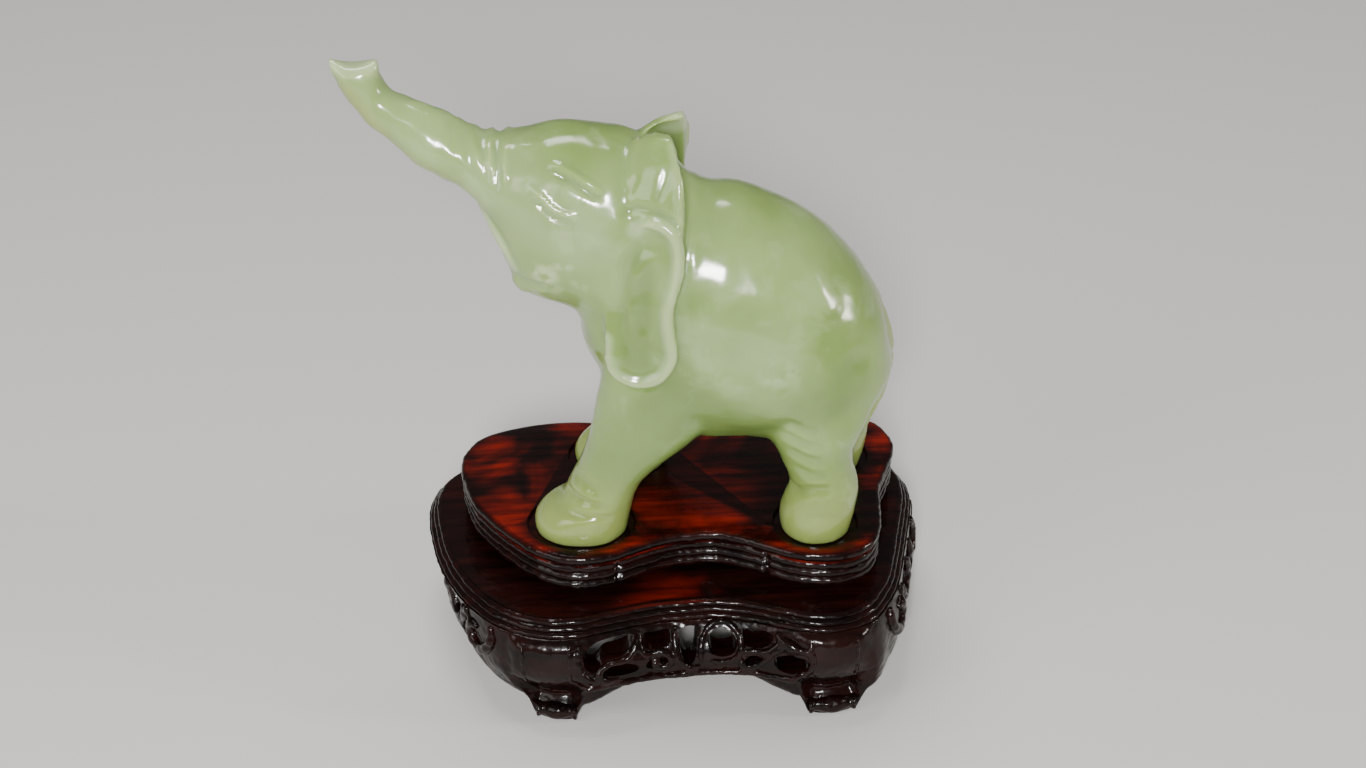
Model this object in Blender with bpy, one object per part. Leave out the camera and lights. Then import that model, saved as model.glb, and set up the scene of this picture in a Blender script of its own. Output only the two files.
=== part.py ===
"""A jade elephant with a raised trunk, standing on a carved dark wood stand.

Metres, +Z up. The elephant faces -X. The origin is under the middle of the whole work, at the
level of the stand's feet.
"""

import math

import bmesh
import bpy
from mathutils import Matrix, Vector

# Driving dimensions of the elephant
ELEPHANT_HEIGHT = 0.1024    # soles to the tip of the raised trunk
DRAWN_HEIGHT = 102.4        # the same height on the grid that its sections are drawn on
FIGURE_TURN = math.radians(-4.2)    # the elephant stands slightly askew on its stand
FAR_FRONT_STEP = 7.6        # how far the far front leg stands behind the near one, on the grid
FAR_HIND_STEP = 3.7         # the same for the hind legs
FIGURE_VOXEL = 1.05         # grain of the carved skin, on the grid
FIGURE_TRIANGLES = 4800
POLISH_PASSES = 5

# Fit of the feet in their shallow sockets
SOCKET_DEPTH = 0.0008
SOCKET_CLEARANCE = 0.0014
SEAT_GAP = 0.0003

# Plate of the stand: its edge stands off the stance of the feet by these margins
MARGIN_HEAD_END = 0.0160
MARGIN_TAIL_END = 0.0083
MARGIN_NEAR_SIDE = 0.0038
MARGIN_FAR_SIDE = 0.0066
PLATE_HEIGHT = 0.0088
PLATE_REEDS = 3
RIM_RADIUS = 0.0013
REED_DEPTH = 0.0007
REED_SET_BACK = 0.0003      # how far the reeds' crests stand behind the rim

# Waist and lower tier
WAIST_INSET = 0.0048
WAIST_HEIGHT = 0.0022
LEDGE_HEAD_END = 0.0082
LEDGE_TAIL_END = 0.0046
LEDGE_FRONT = 0.0088
LEDGE_BACK = 0.0060
MOULDING_FLARE = 0.0024     # how far the moulding spreads from its top to its foot
MOULDING_HEIGHT = 0.0052
MOULDING_REEDS = 2

# Apron, legs and feet
APRON_HEIGHT = 0.0116
APRON_CLEARANCE = 0.0082    # open height under the apron
APRON_SWELL = 0.0050        # the front and back aprons swell out by this much below
END_SWELL = 0.0008          # and the two end aprons by this much
APRON_WALL = 0.0038
LEG_CENTRE_SHARE = 0.558    # how far the legs stand from the middle, by the tier's half length
LEG_WIDTH = 0.0118
LEG_DEPTH = 0.0085
LEG_BULGE = 0.0030
ANKLE_HEIGHT = 0.0062
TOE_REACH = 0.0026
BRACKET_LENGTH = 0.0120
CEILING_THICKNESS = 0.0044  # wood left between the waist and the hollow underside
PLAN_STEPS = 20             # fine points drawn between two given ones of a plan
OUTLINE_POINTS = 70
LEG_DENSITY = 2.6           # how much closer the outline's points are on the legs
OPENING_LEVEL = 0.60        # middle of the fretwork, as a share of the apron's height
SIDE_RUN_SHARE = 0.5        # half run of fretwork on an end, as a share of the half depth

STAND_HEIGHT = PLATE_HEIGHT + WAIST_HEIGHT + MOULDING_HEIGHT + APRON_HEIGHT + APRON_CLEARANCE
GRID = ELEPHANT_HEIGHT / DRAWN_HEIGHT

# Sections from inside the trunk's cupped tip along the head, neck and back to the rump, on the grid:
# upper x and z, lower x and z, half width
SPINE = (
    (-61.6, 98.0, -66.0, 98.2, 1.6),
    (-60.6, 100.0, -67.2, 100.4, 3.0),
    (-59.5, 101.6, -68.2, 102.1, 3.9),
    (-58.7, 101.0, -68.9, 101.4, 4.7),
    (-59.0, 99.2, -67.9, 98.1, 4.0),
    (-58.4, 97.0, -66.2, 93.3, 4.0),
    (-56.7, 94.1, -62.3, 88.2, 4.6),
    (-50.5, 91.6, -55.6, 82.8, 5.4),
    (-44.8, 89.2, -49.2, 78.5, 6.4),
    (-38.3, 85.7, -42.3, 73.9, 7.8),
    (-31.5, 86.0, -38.6, 67.5, 10.0),
    (-24.6, 87.3, -35.8, 57.8, 12.5),
    (-17.7, 86.0, -31.4, 50.8, 14.5),
    (-10.7, 84.1, -22.1, 47.8, 16.0),
    (-3.0, 79.5, -19.6, 38.0, 17.5),
    (3.8, 74.5, -8.6, 20.5, 19.0),
    (11.3, 73.8, 4.0, 17.8, 20.3),
    (18.8, 70.9, 9.5, 18.1, 21.0),
    (27.2, 65.8, 16.6, 17.8, 21.0),
    (34.8, 58.0, 25.4, 17.5, 19.6),
    (40.4, 48.3, 33.4, 20.8, 16.0),
    (42.7, 40.0, 39.2, 26.4, 10.0),
    (43.2, 36.0, 42.0, 31.0, 4.5),
)

# Legs from inside the body to just below the sole, on the grid:
# front x and z, rear x and z, middle y, half width
FRONT_LEG = (
    (-15.0, 44.0, 8.0, 40.0, -9.5, 8.5),
    (-17.8, 31.5, 6.0, 27.0, -10.0, 8.8),
    (-19.2, 24.0, 1.5, 21.6, -10.6, 8.6),
    (-21.0, 17.5, -4.4, 16.8, -11.1, 8.2),
    (-23.6, 11.5, -8.2, 12.5, -11.6, 7.9),
    (-25.6, 7.8, -10.0, 8.5, -11.9, 7.8),
    (-28.8, 6.2, -10.8, 5.5, -12.1, 8.1),
    (-31.2, 3.6, -11.2, 3.2, -12.2, 8.4),
    (-31.8, 1.4, -11.4, 1.3, -12.2, 8.4),
    (-30.8, -2.0, -12.0, -2.0, -12.2, 7.9),
)
HIND_LEG = (
    (14.0, 44.0, 38.6, 41.0, -9.0, 9.6),
    (15.0, 31.0, 39.4, 31.5, -9.8, 9.6),
    (17.3, 24.0, 37.4, 24.5, -10.6, 9.0),
    (19.6, 19.5, 35.6, 19.5, -11.2, 8.2),
    (21.4, 15.2, 35.8, 15.5, -11.6, 7.8),
    (22.3, 12.2, 36.7, 12.5, -11.8, 7.6),
    (22.6, 10.2, 36.9, 10.0, -12.0, 7.5),
    (21.4, 7.5, 36.8, 7.5, -12.0, 7.8),
    (20.4, 4.0, 36.4, 4.5, -12.0, 8.0),
    (20.4, 1.6, 35.8, 1.6, -12.0, 7.8),
    (21.2, -2.0, 34.9, -2.0, -12.0, 7.3),
)
FOOT_SECTION = -2    # the section of a leg that is drawn at the sole

# Tail down the rump: x, z, radius
TAIL = (
    (41.0, 46.0, 1.0),
    (42.6, 39.0, 1.4),
    (42.5, 32.0, 1.5),
    (41.0, 26.0, 1.6),
    (38.6, 21.0, 1.9),
    (36.6, 16.5, 2.2),
    (35.8, 13.0, 1.0),
)

# The near ear, row by row from its top to its lobe: x, y and z of its front, middle and rear
EAR = (
    ((-8.5, -7.8, 84.0), (-5.0, -9.2, 87.4), (-2.2, -9.7, 87.5)),
    ((-12.5, -11.5, 80.5), (-8.0, -13.2, 83.0), (-1.4, -13.2, 83.9)),
    ((-16.0, -14.2, 76.0), (-8.5, -16.0, 77.0), (-1.0, -16.0, 77.8)),
    ((-17.0, -15.8, 70.0), (-9.0, -17.4, 70.5), (-0.2, -18.2, 70.5)),
    ((-17.3, -17.0, 64.5), (-9.5, -19.0, 64.5), (-1.2, -19.6, 63.8)),
    ((-17.2, -18.0, 58.8), (-10.0, -20.0, 58.5), (-3.1, -20.5, 58.0)),
    ((-16.8, -19.0, 53.5), (-9.5, -20.8, 53.0), (-2.3, -21.1, 52.6)),
    ((-16.0, -19.8, 48.5), (-9.0, -21.3, 47.5), (-1.5, -21.6, 47.8)),
    ((-13.2, -20.8, 43.0), (-9.0, -21.5, 41.4), (-3.6, -21.7, 43.0)),
)
TIP_DIP = 1.5          # the trunk's rim dips this far between its two lips
TIP_MIDDLE = -63.8
TIP_HALF_WIDTH = 5.2
TIP_BASE = 97.0
EAR_THICKNESS = 3.2
EAR_RIM_RADIUS = 1.25
EAR_RIM_SINK = 0.5     # how far the middle of the rim lies inside the ear's outer face
EAR_RIM_EASE = 6       # points over which the rim grows to its full thickness
FAR_EAR_SWING = 2.2    # the far ear's top flares back by this much more

# Plans of the plate and the lower tier, from the front middle by the tail end and the back round
# to the front again, as shares of their own half length and half depth
PLATE_PLAN = (
    (0.00, -0.705), (0.12, -0.705), (0.24, -0.79), (0.35, -0.91), (0.45, -1.00), (0.55, -1.05),
    (0.65, -1.05), (0.75, -0.99), (0.82, -0.86), (0.86, -0.66), (0.88, -0.40), (0.90, -0.12),
    (0.955, 0.14), (1.00, 0.37), (1.00, 0.58), (0.93, 0.82), (0.71, 0.96), (0.50, 1.00),
    (0.25, 0.94), (0.00, 0.88), (-0.25, 0.94), (-0.50, 1.00), (-0.71, 0.96), (-0.90, 0.83),
    (-0.99, 0.61), (-1.01, 0.37), (-0.99, 0.14), (-0.955, -0.10), (-0.90, -0.30), (-0.81, -0.54),
    (-0.69, -0.79), (-0.57, -0.93), (-0.46, -0.96), (-0.34, -0.92), (-0.22, -0.82), (-0.10, -0.735),
)
TIER_PLAN = (
    (0.00, -0.825), (0.12, -0.82), (0.24, -0.86), (0.35, -0.93), (0.45, -0.99), (0.55, -1.02),
    (0.655, -0.99), (0.75, -0.90), (0.81, -0.76), (0.86, -0.60), (0.90, -0.38), (0.94, -0.12),
    (0.975, 0.11), (1.00, 0.32), (0.99, 0.55), (0.92, 0.77), (0.75, 0.93), (0.51, 1.00),
    (0.25, 0.97), (0.00, 0.94), (-0.25, 0.97), (-0.51, 1.00), (-0.75, 0.93), (-0.92, 0.77),
    (-0.99, 0.55), (-1.00, 0.32), (-0.985, 0.11), (-0.96, -0.12), (-0.91, -0.36), (-0.84, -0.58),
    (-0.745, -0.77), (-0.64, -0.89), (-0.53, -0.95), (-0.41, -0.95), (-0.28, -0.90), (-0.12, -0.84),
)

# Profile from the moulding's foot down: share of the way, then bulge and toe of a leg, and the
# swell of the apron
LEG_PROFILE = (
    (0.00, 0.0, 0.0, 0.0),
    (0.08, 0.6, 0.0, 0.2),
    (0.34, 1.0, 0.0, 0.7),
    (0.56, 0.8, 0.0, 0.95),
    (0.70, 0.2, 0.2, 1.0),
    (0.78, 0.0, 0.6, 1.0),
    (0.88, 0.0, 1.0, 1.0),
    (1.00, 0.0, 0.8, 0.9),
)

# Pierced fretwork of the apron: middle and width of each opening as shares of the half run
# between two legs, and its height as a share of the apron
FRONT_OPENINGS = (
    (-0.66, 0.34, 0.46),
    (-0.30, 0.26, 0.50),
    (-0.02, 0.20, 0.60),
    (0.31, 0.32, 0.58),
    (0.67, 0.34, 0.50),
)
SIDE_OPENINGS = ((-0.72, 0.42, 0.48), (0.0, 0.48, 0.56), (0.72, 0.42, 0.48))


def clear_scene():
    for old in list(bpy.data.objects):
        bpy.data.objects.remove(old, do_unlink=True)


def material(name, colour, roughness):
    made = bpy.data.materials.new(name)
    made.use_nodes = True
    shader = made.node_tree.nodes["Principled BSDF"]
    shader.inputs["Base Color"].default_value = (*colour, 1.0)
    shader.inputs["Roughness"].default_value = roughness
    shader.inputs["Metallic"].default_value = 0.0
    return made


def smooth_rows(rows, steps, closed=False):
    """Rows of numbers with steps rows of a Catmull-Rom curve for each given one."""
    count = len(rows)
    spans = count if closed else count - 1
    result = []
    for span in range(spans):
        if closed:
            near = [rows[(span + shift) % count] for shift in (-1, 0, 1, 2)]
        else:
            near = [rows[min(max(span + shift, 0), count - 1)] for shift in (-1, 0, 1, 2)]
        for step in range(steps):
            t = step / steps
            row = []
            for a, b, c, d in zip(*near):
                row.append(0.5 * (2 * b + (c - a) * t + (2 * a - 5 * b + 4 * c - d) * t * t
                                  + (3 * b - a - 3 * c + d) * t ** 3))
            result.append(row)
    if not closed:
        result.append(list(rows[-1]))
    return result


def smooth_step(value):
    value = min(max(value, 0.0), 1.0)
    return value * value * (3 - 2 * value)


def ring_matrix(section):
    """Placement of a unit circle as the ellipse of a section."""
    upper_x, upper_z, lower_x, lower_z, middle_y, half_width = section
    half = Vector((upper_x - lower_x, 0.0, upper_z - lower_z)) * 0.5
    across = Vector((0.0, half_width, 0.0))
    normal = half.normalized().cross(across.normalized())
    middle = Vector(((upper_x + lower_x) * 0.5, middle_y, (upper_z + lower_z) * 0.5))
    matrix = Matrix.Identity(4)
    for column, vector in enumerate((half, across, normal, middle)):
        for row in range(3):
            matrix[row][column] = vector[row]
    return matrix


def loft(sections, sides=28, steps=4):
    """A closed body through elliptical sections."""
    bm = bmesh.new()
    placed = [ring_matrix(row) for row in smooth_rows(sections, steps)]
    bmesh.ops.create_circle(bm, cap_ends=True, segments=sides, radius=1.0, matrix=placed[0])
    rim = bm.edges[:]
    for before, after in zip(placed, placed[1:]):
        grown = bmesh.ops.extrude_edge_only(bm, edges=rim)["geom"]
        moved = [item for item in grown if isinstance(item, bmesh.types.BMVert)]
        rim = [item for item in grown if isinstance(item, bmesh.types.BMEdge)]
        bmesh.ops.transform(bm, matrix=after @ before.inverted(), verts=moved)
    bmesh.ops.edgeloop_fill(bm, edges=rim)
    bmesh.ops.recalc_face_normals(bm, faces=bm.faces[:])
    return bm


def tube(points, radii, sides=12):
    """A round strand through points, closed at both ends."""
    bm = bmesh.new()
    placed = []
    for index, point in enumerate(points):
        ahead = points[min(index + 1, len(points) - 1)]
        behind = points[max(index - 1, 0)]
        turn = (ahead - behind).to_track_quat("Z", "Y").to_matrix().to_4x4()
        placed.append(Matrix.Translation(point) @ turn @ Matrix.Scale(radii[index], 4))
    bmesh.ops.create_circle(bm, cap_ends=True, segments=sides, radius=1.0, matrix=placed[0])
    rim = bm.edges[:]
    for before, after in zip(placed, placed[1:]):
        grown = bmesh.ops.extrude_edge_only(bm, edges=rim)["geom"]
        moved = [item for item in grown if isinstance(item, bmesh.types.BMVert)]
        rim = [item for item in grown if isinstance(item, bmesh.types.BMEdge)]
        bmesh.ops.transform(bm, matrix=after @ before.inverted(), verts=moved)
    bmesh.ops.edgeloop_fill(bm, edges=rim)
    bmesh.ops.recalc_face_normals(bm, faces=bm.faces[:])
    return bm


def ear_rows(side, steps=4):
    """The ear's surface points, row by row; side is -1 for the near ear and 1 for the far."""
    flat = [[value for point in row for value in point] for row in EAR]
    rows = []
    smoothed = smooth_rows(flat, steps)
    for index, numbers in enumerate(smoothed):
        points = [numbers[start:start + 3] for start in (0, 3, 6)]
        drop = index / (len(smoothed) - 1)
        swing = FAR_EAR_SWING * (1 - drop) ** 3 if side > 0 else 0.0
        row = []
        for reach, (x, y, z) in enumerate(smooth_rows(points, steps)):
            share = reach / (2 * steps)
            row.append(Vector((x + swing * share, -side * y, z)))
        rows.append(row)
    return rows


def ear_sheet(rows):
    """The ear as a thick sheet whose inner side is sunk in the head and neck."""
    bm = bmesh.new()
    across = len(rows[0]) - 1
    down = len(rows) - 1
    bmesh.ops.create_grid(bm, x_segments=across, y_segments=down, size=1.0)
    inward = -1.0 if rows[0][0].y > 0 else 1.0
    for vert in bm.verts:
        column = round((vert.co.x + 1) / 2 * across)
        row = round((vert.co.y + 1) / 2 * down)
        vert.co = rows[row][column]
    grown = bmesh.ops.extrude_face_region(bm, geom=bm.faces[:])["geom"]
    moved = [item for item in grown if isinstance(item, bmesh.types.BMVert)]
    bmesh.ops.translate(bm, vec=(0.0, inward * EAR_THICKNESS, 0.0), verts=moved)
    bmesh.ops.recalc_face_normals(bm, faces=bm.faces[:])
    return bm


def ear_rim(rows):
    """The thick rolled edge down the rear of the ear, round its lobe and a little way up."""
    start = len(rows) // 4
    path = [row[-1] for row in rows[start:]]
    path += list(reversed(rows[-1]))[1:]
    path += [row[0] for row in reversed(rows[-EAR_RIM_EASE:-1])]
    radii = []
    for index in range(len(path)):
        nearest_end = min(index, len(path) - 1 - index)
        radii.append(EAR_RIM_RADIUS * smooth_step((nearest_end + 1) / EAR_RIM_EASE))
    inward = Vector((0.0, -EAR_RIM_SINK if path[0].y > 0 else EAR_RIM_SINK, 0.0))
    return tube([point + inward for point in path], radii)


def mirrored_leg(sections, step):
    """The far leg of a pair, set back by a step."""
    return [(fx + step, fz, rx + step, rz, -y, width) for fx, fz, rx, rz, y, width in sections]


def legs():
    return (FRONT_LEG, HIND_LEG, mirrored_leg(FRONT_LEG, FAR_FRONT_STEP),
            mirrored_leg(HIND_LEG, FAR_HIND_STEP))


def dip_trunk_rim(bm):
    """Lowers the middle of the trunk's rim, which leaves a lip at its front and one behind."""
    for vert in bm.verts:
        across = (vert.co.x - TIP_MIDDLE) / TIP_HALF_WIDTH
        if vert.co.z > TIP_BASE and abs(across) < 1:
            rise = smooth_step((vert.co.z - TIP_BASE) / (DRAWN_HEIGHT - TIP_BASE))
            vert.co.z -= TIP_DIP * rise * (1 - across * across)


def evaluated_mesh(thing):
    graph = bpy.context.evaluated_depsgraph_get()
    return bpy.data.meshes.new_from_object(thing.evaluated_get(graph))


def mesh_object(name, bm):
    data = bpy.data.meshes.new(name)
    bm.to_mesh(data)
    bm.free()
    thing = bpy.data.objects.new(name, data)
    bpy.context.scene.collection.objects.link(thing)
    return thing


def figure_mesh():
    """All parts of the figure melted into one skin, with flat soles at z = 0."""
    spine = [(ux, uz, lx, lz, 0.0, width) for ux, uz, lx, lz, width in SPINE]
    pieces = [loft(spine)]
    pieces += [loft(leg, sides=20, steps=3) for leg in legs()]
    for side in (-1, 1):
        rows = ear_rows(side)
        pieces += [ear_sheet(rows), ear_rim(rows)]
    tail = smooth_rows(TAIL, 3)
    pieces.append(tube([Vector((x, 0.0, z)) for x, z, _ in tail], [r for _, _, r in tail]))
    joined = bmesh.new()
    for piece in pieces:
        data = bpy.data.meshes.new("piece")
        piece.to_mesh(data)
        piece.free()
        joined.from_mesh(data)
        bpy.data.meshes.remove(data)
    rough = mesh_object("rough_figure", joined)
    remesh = rough.modifiers.new("skin", "REMESH")
    remesh.mode = "VOXEL"
    remesh.voxel_size = FIGURE_VOXEL
    polish = rough.modifiers.new("polish", "SMOOTH")
    polish.factor = 0.5
    polish.iterations = POLISH_PASSES
    fine = evaluated_mesh(rough)
    decimate = rough.modifiers.new("facets", "DECIMATE")
    decimate.ratio = FIGURE_TRIANGLES / (2 * len(fine.polygons))
    facets = evaluated_mesh(rough)
    bpy.data.meshes.remove(fine)
    bpy.data.objects.remove(rough, do_unlink=True)
    bm = bmesh.new()
    bm.from_mesh(facets)
    bpy.data.meshes.remove(facets)
    dip_trunk_rim(bm)
    cut = bmesh.ops.bisect_plane(bm, geom=bm.verts[:] + bm.edges[:] + bm.faces[:], dist=1e-4,
                                 plane_co=(0, 0, 0), plane_no=(0, 0, 1), clear_inner=True)
    soles = [item for item in cut["geom_cut"] if isinstance(item, bmesh.types.BMEdge)]
    bmesh.ops.holes_fill(bm, edges=soles, sides=0)
    bmesh.ops.triangulate(bm, faces=bm.faces[:])
    bmesh.ops.scale(bm, vec=(GRID, GRID, GRID), verts=bm.verts[:])
    return bm


def footprints():
    """Middle and half sizes of each sole on the stand, before the figure's turn."""
    prints = []
    for leg in legs():
        front_x, _, rear_x, _, middle_y, half_width = leg[FOOT_SECTION]
        prints.append(((front_x + rear_x) / 2 * GRID, middle_y * GRID,
                       (rear_x - front_x) / 2 * GRID, half_width * GRID))
    return prints


def plan(shares, middle, half_length, half_depth):
    """A fine closed outline through points given as shares of its half sizes."""
    curve = smooth_rows(shares, PLAN_STEPS, closed=True)
    return [Vector((middle.x + x * half_length, middle.y + y * half_depth)) for x, y in curve]


def beyond_leg(point, leg_x):
    """How far a point of the outline lies outside the nearest leg; negative on a leg."""
    return abs(abs(point.x - leg_x[0]) - leg_x[1]) - LEG_WIDTH / 2


def picks(curve, leg_x):
    """Which points of the fine outline to keep: evenly spaced, but closer on the legs."""
    reach = [0.0]
    for index, point in enumerate(curve):
        after = curve[(index + 1) % len(curve)]
        weight = LEG_DENSITY if beyond_leg(point, leg_x) < 0 else 1.0
        reach.append(reach[-1] + (after - point).length * weight)
    kept = []
    index = 0
    for step in range(OUTLINE_POINTS):
        while reach[index] < reach[-1] * step / OUTLINE_POINTS:
            index += 1
        kept.append(index % len(curve))
    return kept


def outward(outline):
    """The outward direction at each point of an outline."""
    count = len(outline)
    spans = [outline[(index + 1) % count] - outline[index - 1] for index in range(count)]
    return [Vector((span.y, -span.x)).normalized() for span in spans]


def offset(outline, distances):
    """The outline moved outwards, each point by its own distance."""
    return [point + way * distance
            for point, way, distance in zip(outline, outward(outline), distances)]


def reeded(top, height, reeds, flare=0.0):
    """A reeded band from its top down: distance and level of its crests and grooves."""
    rows = []
    for reed in range(reeds):
        for part, depth in ((0.5, 0.0), (1.0, REED_DEPTH)):
            share = (reed + part) / reeds
            rows.append((-flare * (1 - share) - depth, top - height * share))
    return rows


def stand_rings(plate, tier, leg_x):
    """Rings of points from the plate's top, down its profile and up inside the hollow below."""
    rings = []

    def ring(outline, distance, level):
        rings.append([(p.x, p.y, level) for p in offset(outline, [distance] * len(outline))])

    top = STAND_HEIGHT
    shoulder = 1 - math.sqrt(0.5)
    ring(plate, -RIM_RADIUS, top)
    ring(plate, -RIM_RADIUS * shoulder, top - RIM_RADIUS * shoulder)
    ring(plate, 0.0, top - RIM_RADIUS)
    bead_foot = top - 2 * RIM_RADIUS
    ring(plate, -REED_DEPTH, bead_foot)
    plate_foot = top - PLATE_HEIGHT
    for distance, level in reeded(bead_foot, bead_foot - plate_foot, PLATE_REEDS):
        ring(plate, distance - REED_SET_BACK, level)
    ring(plate, -WAIST_INSET, plate_foot)
    waist_foot = plate_foot - WAIST_HEIGHT
    ring(plate, -WAIST_INSET, waist_foot)

    ring(tier, -MOULDING_FLARE - RIM_RADIUS, waist_foot)
    ledge_foot = waist_foot - RIM_RADIUS * shoulder
    ring(tier, -MOULDING_FLARE, ledge_foot)
    moulding_foot = waist_foot - MOULDING_HEIGHT
    for distance, level in reeded(ledge_foot, ledge_foot - moulding_foot, MOULDING_REEDS,
                                  MOULDING_FLARE):
        ring(tier, distance, level)

    beyond = [beyond_leg(point, leg_x) for point in tier]
    swells = [END_SWELL + (APRON_SWELL - END_SWELL) * way.y ** 2 for way in outward(tier)]
    for share, bulge, toe, swell in LEG_PROFILE:
        distances = []
        levels = []
        for gap, full in zip(beyond, swells):
            bracket = smooth_step(gap / BRACKET_LENGTH)
            foot = 0.0 if gap <= 0 else ANKLE_HEIGHT + (APRON_CLEARANCE - ANKLE_HEIGHT) * bracket
            levels.append(moulding_foot + (foot - moulding_foot) * share)
            on_leg = LEG_BULGE * bulge + TOE_REACH * toe
            distances.append(on_leg if gap <= 0 else full * swell)
        moved = offset(tier, distances)
        rings.append([(p.x, p.y, level) for p, level in zip(moved, levels)])
    inner_foot = offset(tier, [-LEG_DEPTH if gap <= 0 else full * swell - APRON_WALL
                               for gap, full in zip(beyond, swells)])
    rings.append([(p.x, p.y, level) for p, level in zip(inner_foot, levels)])
    inner_top = offset(tier, [-LEG_DEPTH if gap <= 0 else -APRON_WALL for gap in beyond])
    rings.append([(p.x, p.y, waist_foot - CEILING_THICKNESS) for p in inner_top])
    return rings


def stand_mesh(plate, tier, leg_x):
    bm = bmesh.new()
    made = [[bm.verts.new(point) for point in row] for row in stand_rings(plate, tier, leg_x)]
    count = len(plate)
    for upper, lower in zip(made, made[1:]):
        for index in range(count):
            after = (index + 1) % count
            bm.faces.new((upper[index], lower[index], lower[after], upper[after]))
    bm.faces.new(made[0])
    bm.faces.new(list(reversed(made[-1])))
    bmesh.ops.recalc_face_normals(bm, faces=bm.faces[:])
    return bm


def socket_cutters(turn):
    """Shallow rounded recesses, one under each sole."""
    bm = bmesh.new()
    for x, y, half_length, half_width in footprints():
        size = Matrix.Diagonal((half_length + SOCKET_CLEARANCE, half_width + SOCKET_CLEARANCE,
                                1.0, 1.0))
        place = turn @ Matrix.Translation((x, y, STAND_HEIGHT)) @ size
        bmesh.ops.create_cone(bm, cap_ends=True, segments=20, radius1=1.0, radius2=1.0,
                              depth=2 * SOCKET_DEPTH, matrix=place)
    return bm


def opening_cutters(tier, leg_x):
    """Prisms that pierce the apron between the legs, on all four sides."""
    bm = bmesh.new()
    level = APRON_CLEARANCE + APRON_HEIGHT * OPENING_LEVEL
    reach = 3 * LEDGE_FRONT    # long enough to pass right through the apron's wall
    run = leg_x[1] - LEG_WIDTH / 2
    ends = [edge(point[axis] for point in tier) for axis in (0, 1) for edge in (min, max)]
    left, right, front, back = ends
    middle_y = (front + back) / 2
    side_run = (back - front) / 2 * SIDE_RUN_SHARE
    placed = []
    for centre, width, height in FRONT_OPENINGS:
        placed.append((leg_x[0] + centre * run, front, "X", run * width / 2, height))
        placed.append((leg_x[0] - centre * run, back, "X", run * width / 2, height))
    for centre, width, height in SIDE_OPENINGS:
        for side_x in (left, right):
            placed.append((side_x, middle_y + centre * side_run, "Y", side_run * width / 2, height))
    for x, y, axis, half_width, height in placed:
        half_height = APRON_HEIGHT * height / 2
        spin = Matrix.Rotation(math.pi / 2, 4, axis)
        sizes = (half_width, half_height) if axis == "X" else (half_height, half_width)
        place = Matrix.Translation((x, y, level)) @ spin @ Matrix.Diagonal((*sizes, 1.0, 1.0))
        bmesh.ops.create_cone(bm, cap_ends=True, segments=8, radius1=1.0, radius2=1.0,
                              depth=reach, matrix=place)
    return bm


def centre_under(things):
    """Moves every object so that the origin is under the middle of the named ones."""
    bpy.context.view_layer.update()
    corners = [thing.matrix_world @ vert.co for thing in things for vert in thing.data.vertices]
    middle = [(min(p[axis] for p in corners) + max(p[axis] for p in corners)) / 2
              for axis in (0, 1)]
    for thing in bpy.data.objects:
        thing.location.x -= middle[0]
        thing.location.y -= middle[1]


def build():
    clear_scene()
    jade = material("celadon_jade", (0.52, 0.66, 0.36), 0.16)
    wood = material("dark_lacquered_wood", (0.045, 0.010, 0.008), 0.22)

    turn = Matrix.Rotation(FIGURE_TURN, 4, "Z")
    prints = footprints()
    left = min(x - half for x, _, half, _ in prints) - MARGIN_HEAD_END
    right = max(x + half for x, _, half, _ in prints) + MARGIN_TAIL_END
    near = min(y - half for _, y, _, half in prints) - MARGIN_NEAR_SIDE
    far = max(y + half for _, y, _, half in prints) + MARGIN_FAR_SIDE
    middle = Vector(((left + right) / 2, (near + far) / 2))
    tier_middle = middle + Vector((LEDGE_TAIL_END - LEDGE_HEAD_END, LEDGE_BACK - LEDGE_FRONT)) / 2
    tier_half_length = (right - left + LEDGE_HEAD_END + LEDGE_TAIL_END) / 2
    tier_half_depth = (far - near + LEDGE_BACK + LEDGE_FRONT) / 2
    leg_x = ((middle.x + tier_middle.x) / 2, tier_half_length * LEG_CENTRE_SHARE)
    plate_curve = plan(PLATE_PLAN, middle, (right - left) / 2, (far - near) / 2)
    tier_curve = plan(TIER_PLAN, tier_middle, tier_half_length, tier_half_depth)
    kept = picks(tier_curve, leg_x)
    plate = [plate_curve[index] for index in kept]
    tier = [tier_curve[index] for index in kept]

    stand = mesh_object("wood_stand", stand_mesh(plate, tier, leg_x))
    stand.data.materials.append(wood)
    for name, cutters in (("sockets", socket_cutters(turn)),
                          ("fretwork", opening_cutters(tier, leg_x))):
        cutter = mesh_object(name, cutters)
        cutter.hide_render = True
        cutter.display_type = "WIRE"
        cut = stand.modifiers.new(name, "BOOLEAN")
        cut.operation = "DIFFERENCE"
        cut.solver = "EXACT"
        cut.object = cutter

    elephant = mesh_object("jade_elephant", figure_mesh())
    elephant.data.materials.append(jade)
    elephant.data.shade_smooth()
    elephant.rotation_euler.z = FIGURE_TURN
    elephant.location.z = STAND_HEIGHT - SOCKET_DEPTH + SEAT_GAP
    centre_under((stand, elephant))


build()
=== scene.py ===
"""Looks of the jade elephant on its carved wood stand: fine carving, finishes, floor and light."""

import math

import bmesh
import bpy
import numpy as np
from mathutils import Matrix, Vector, noise


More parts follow.
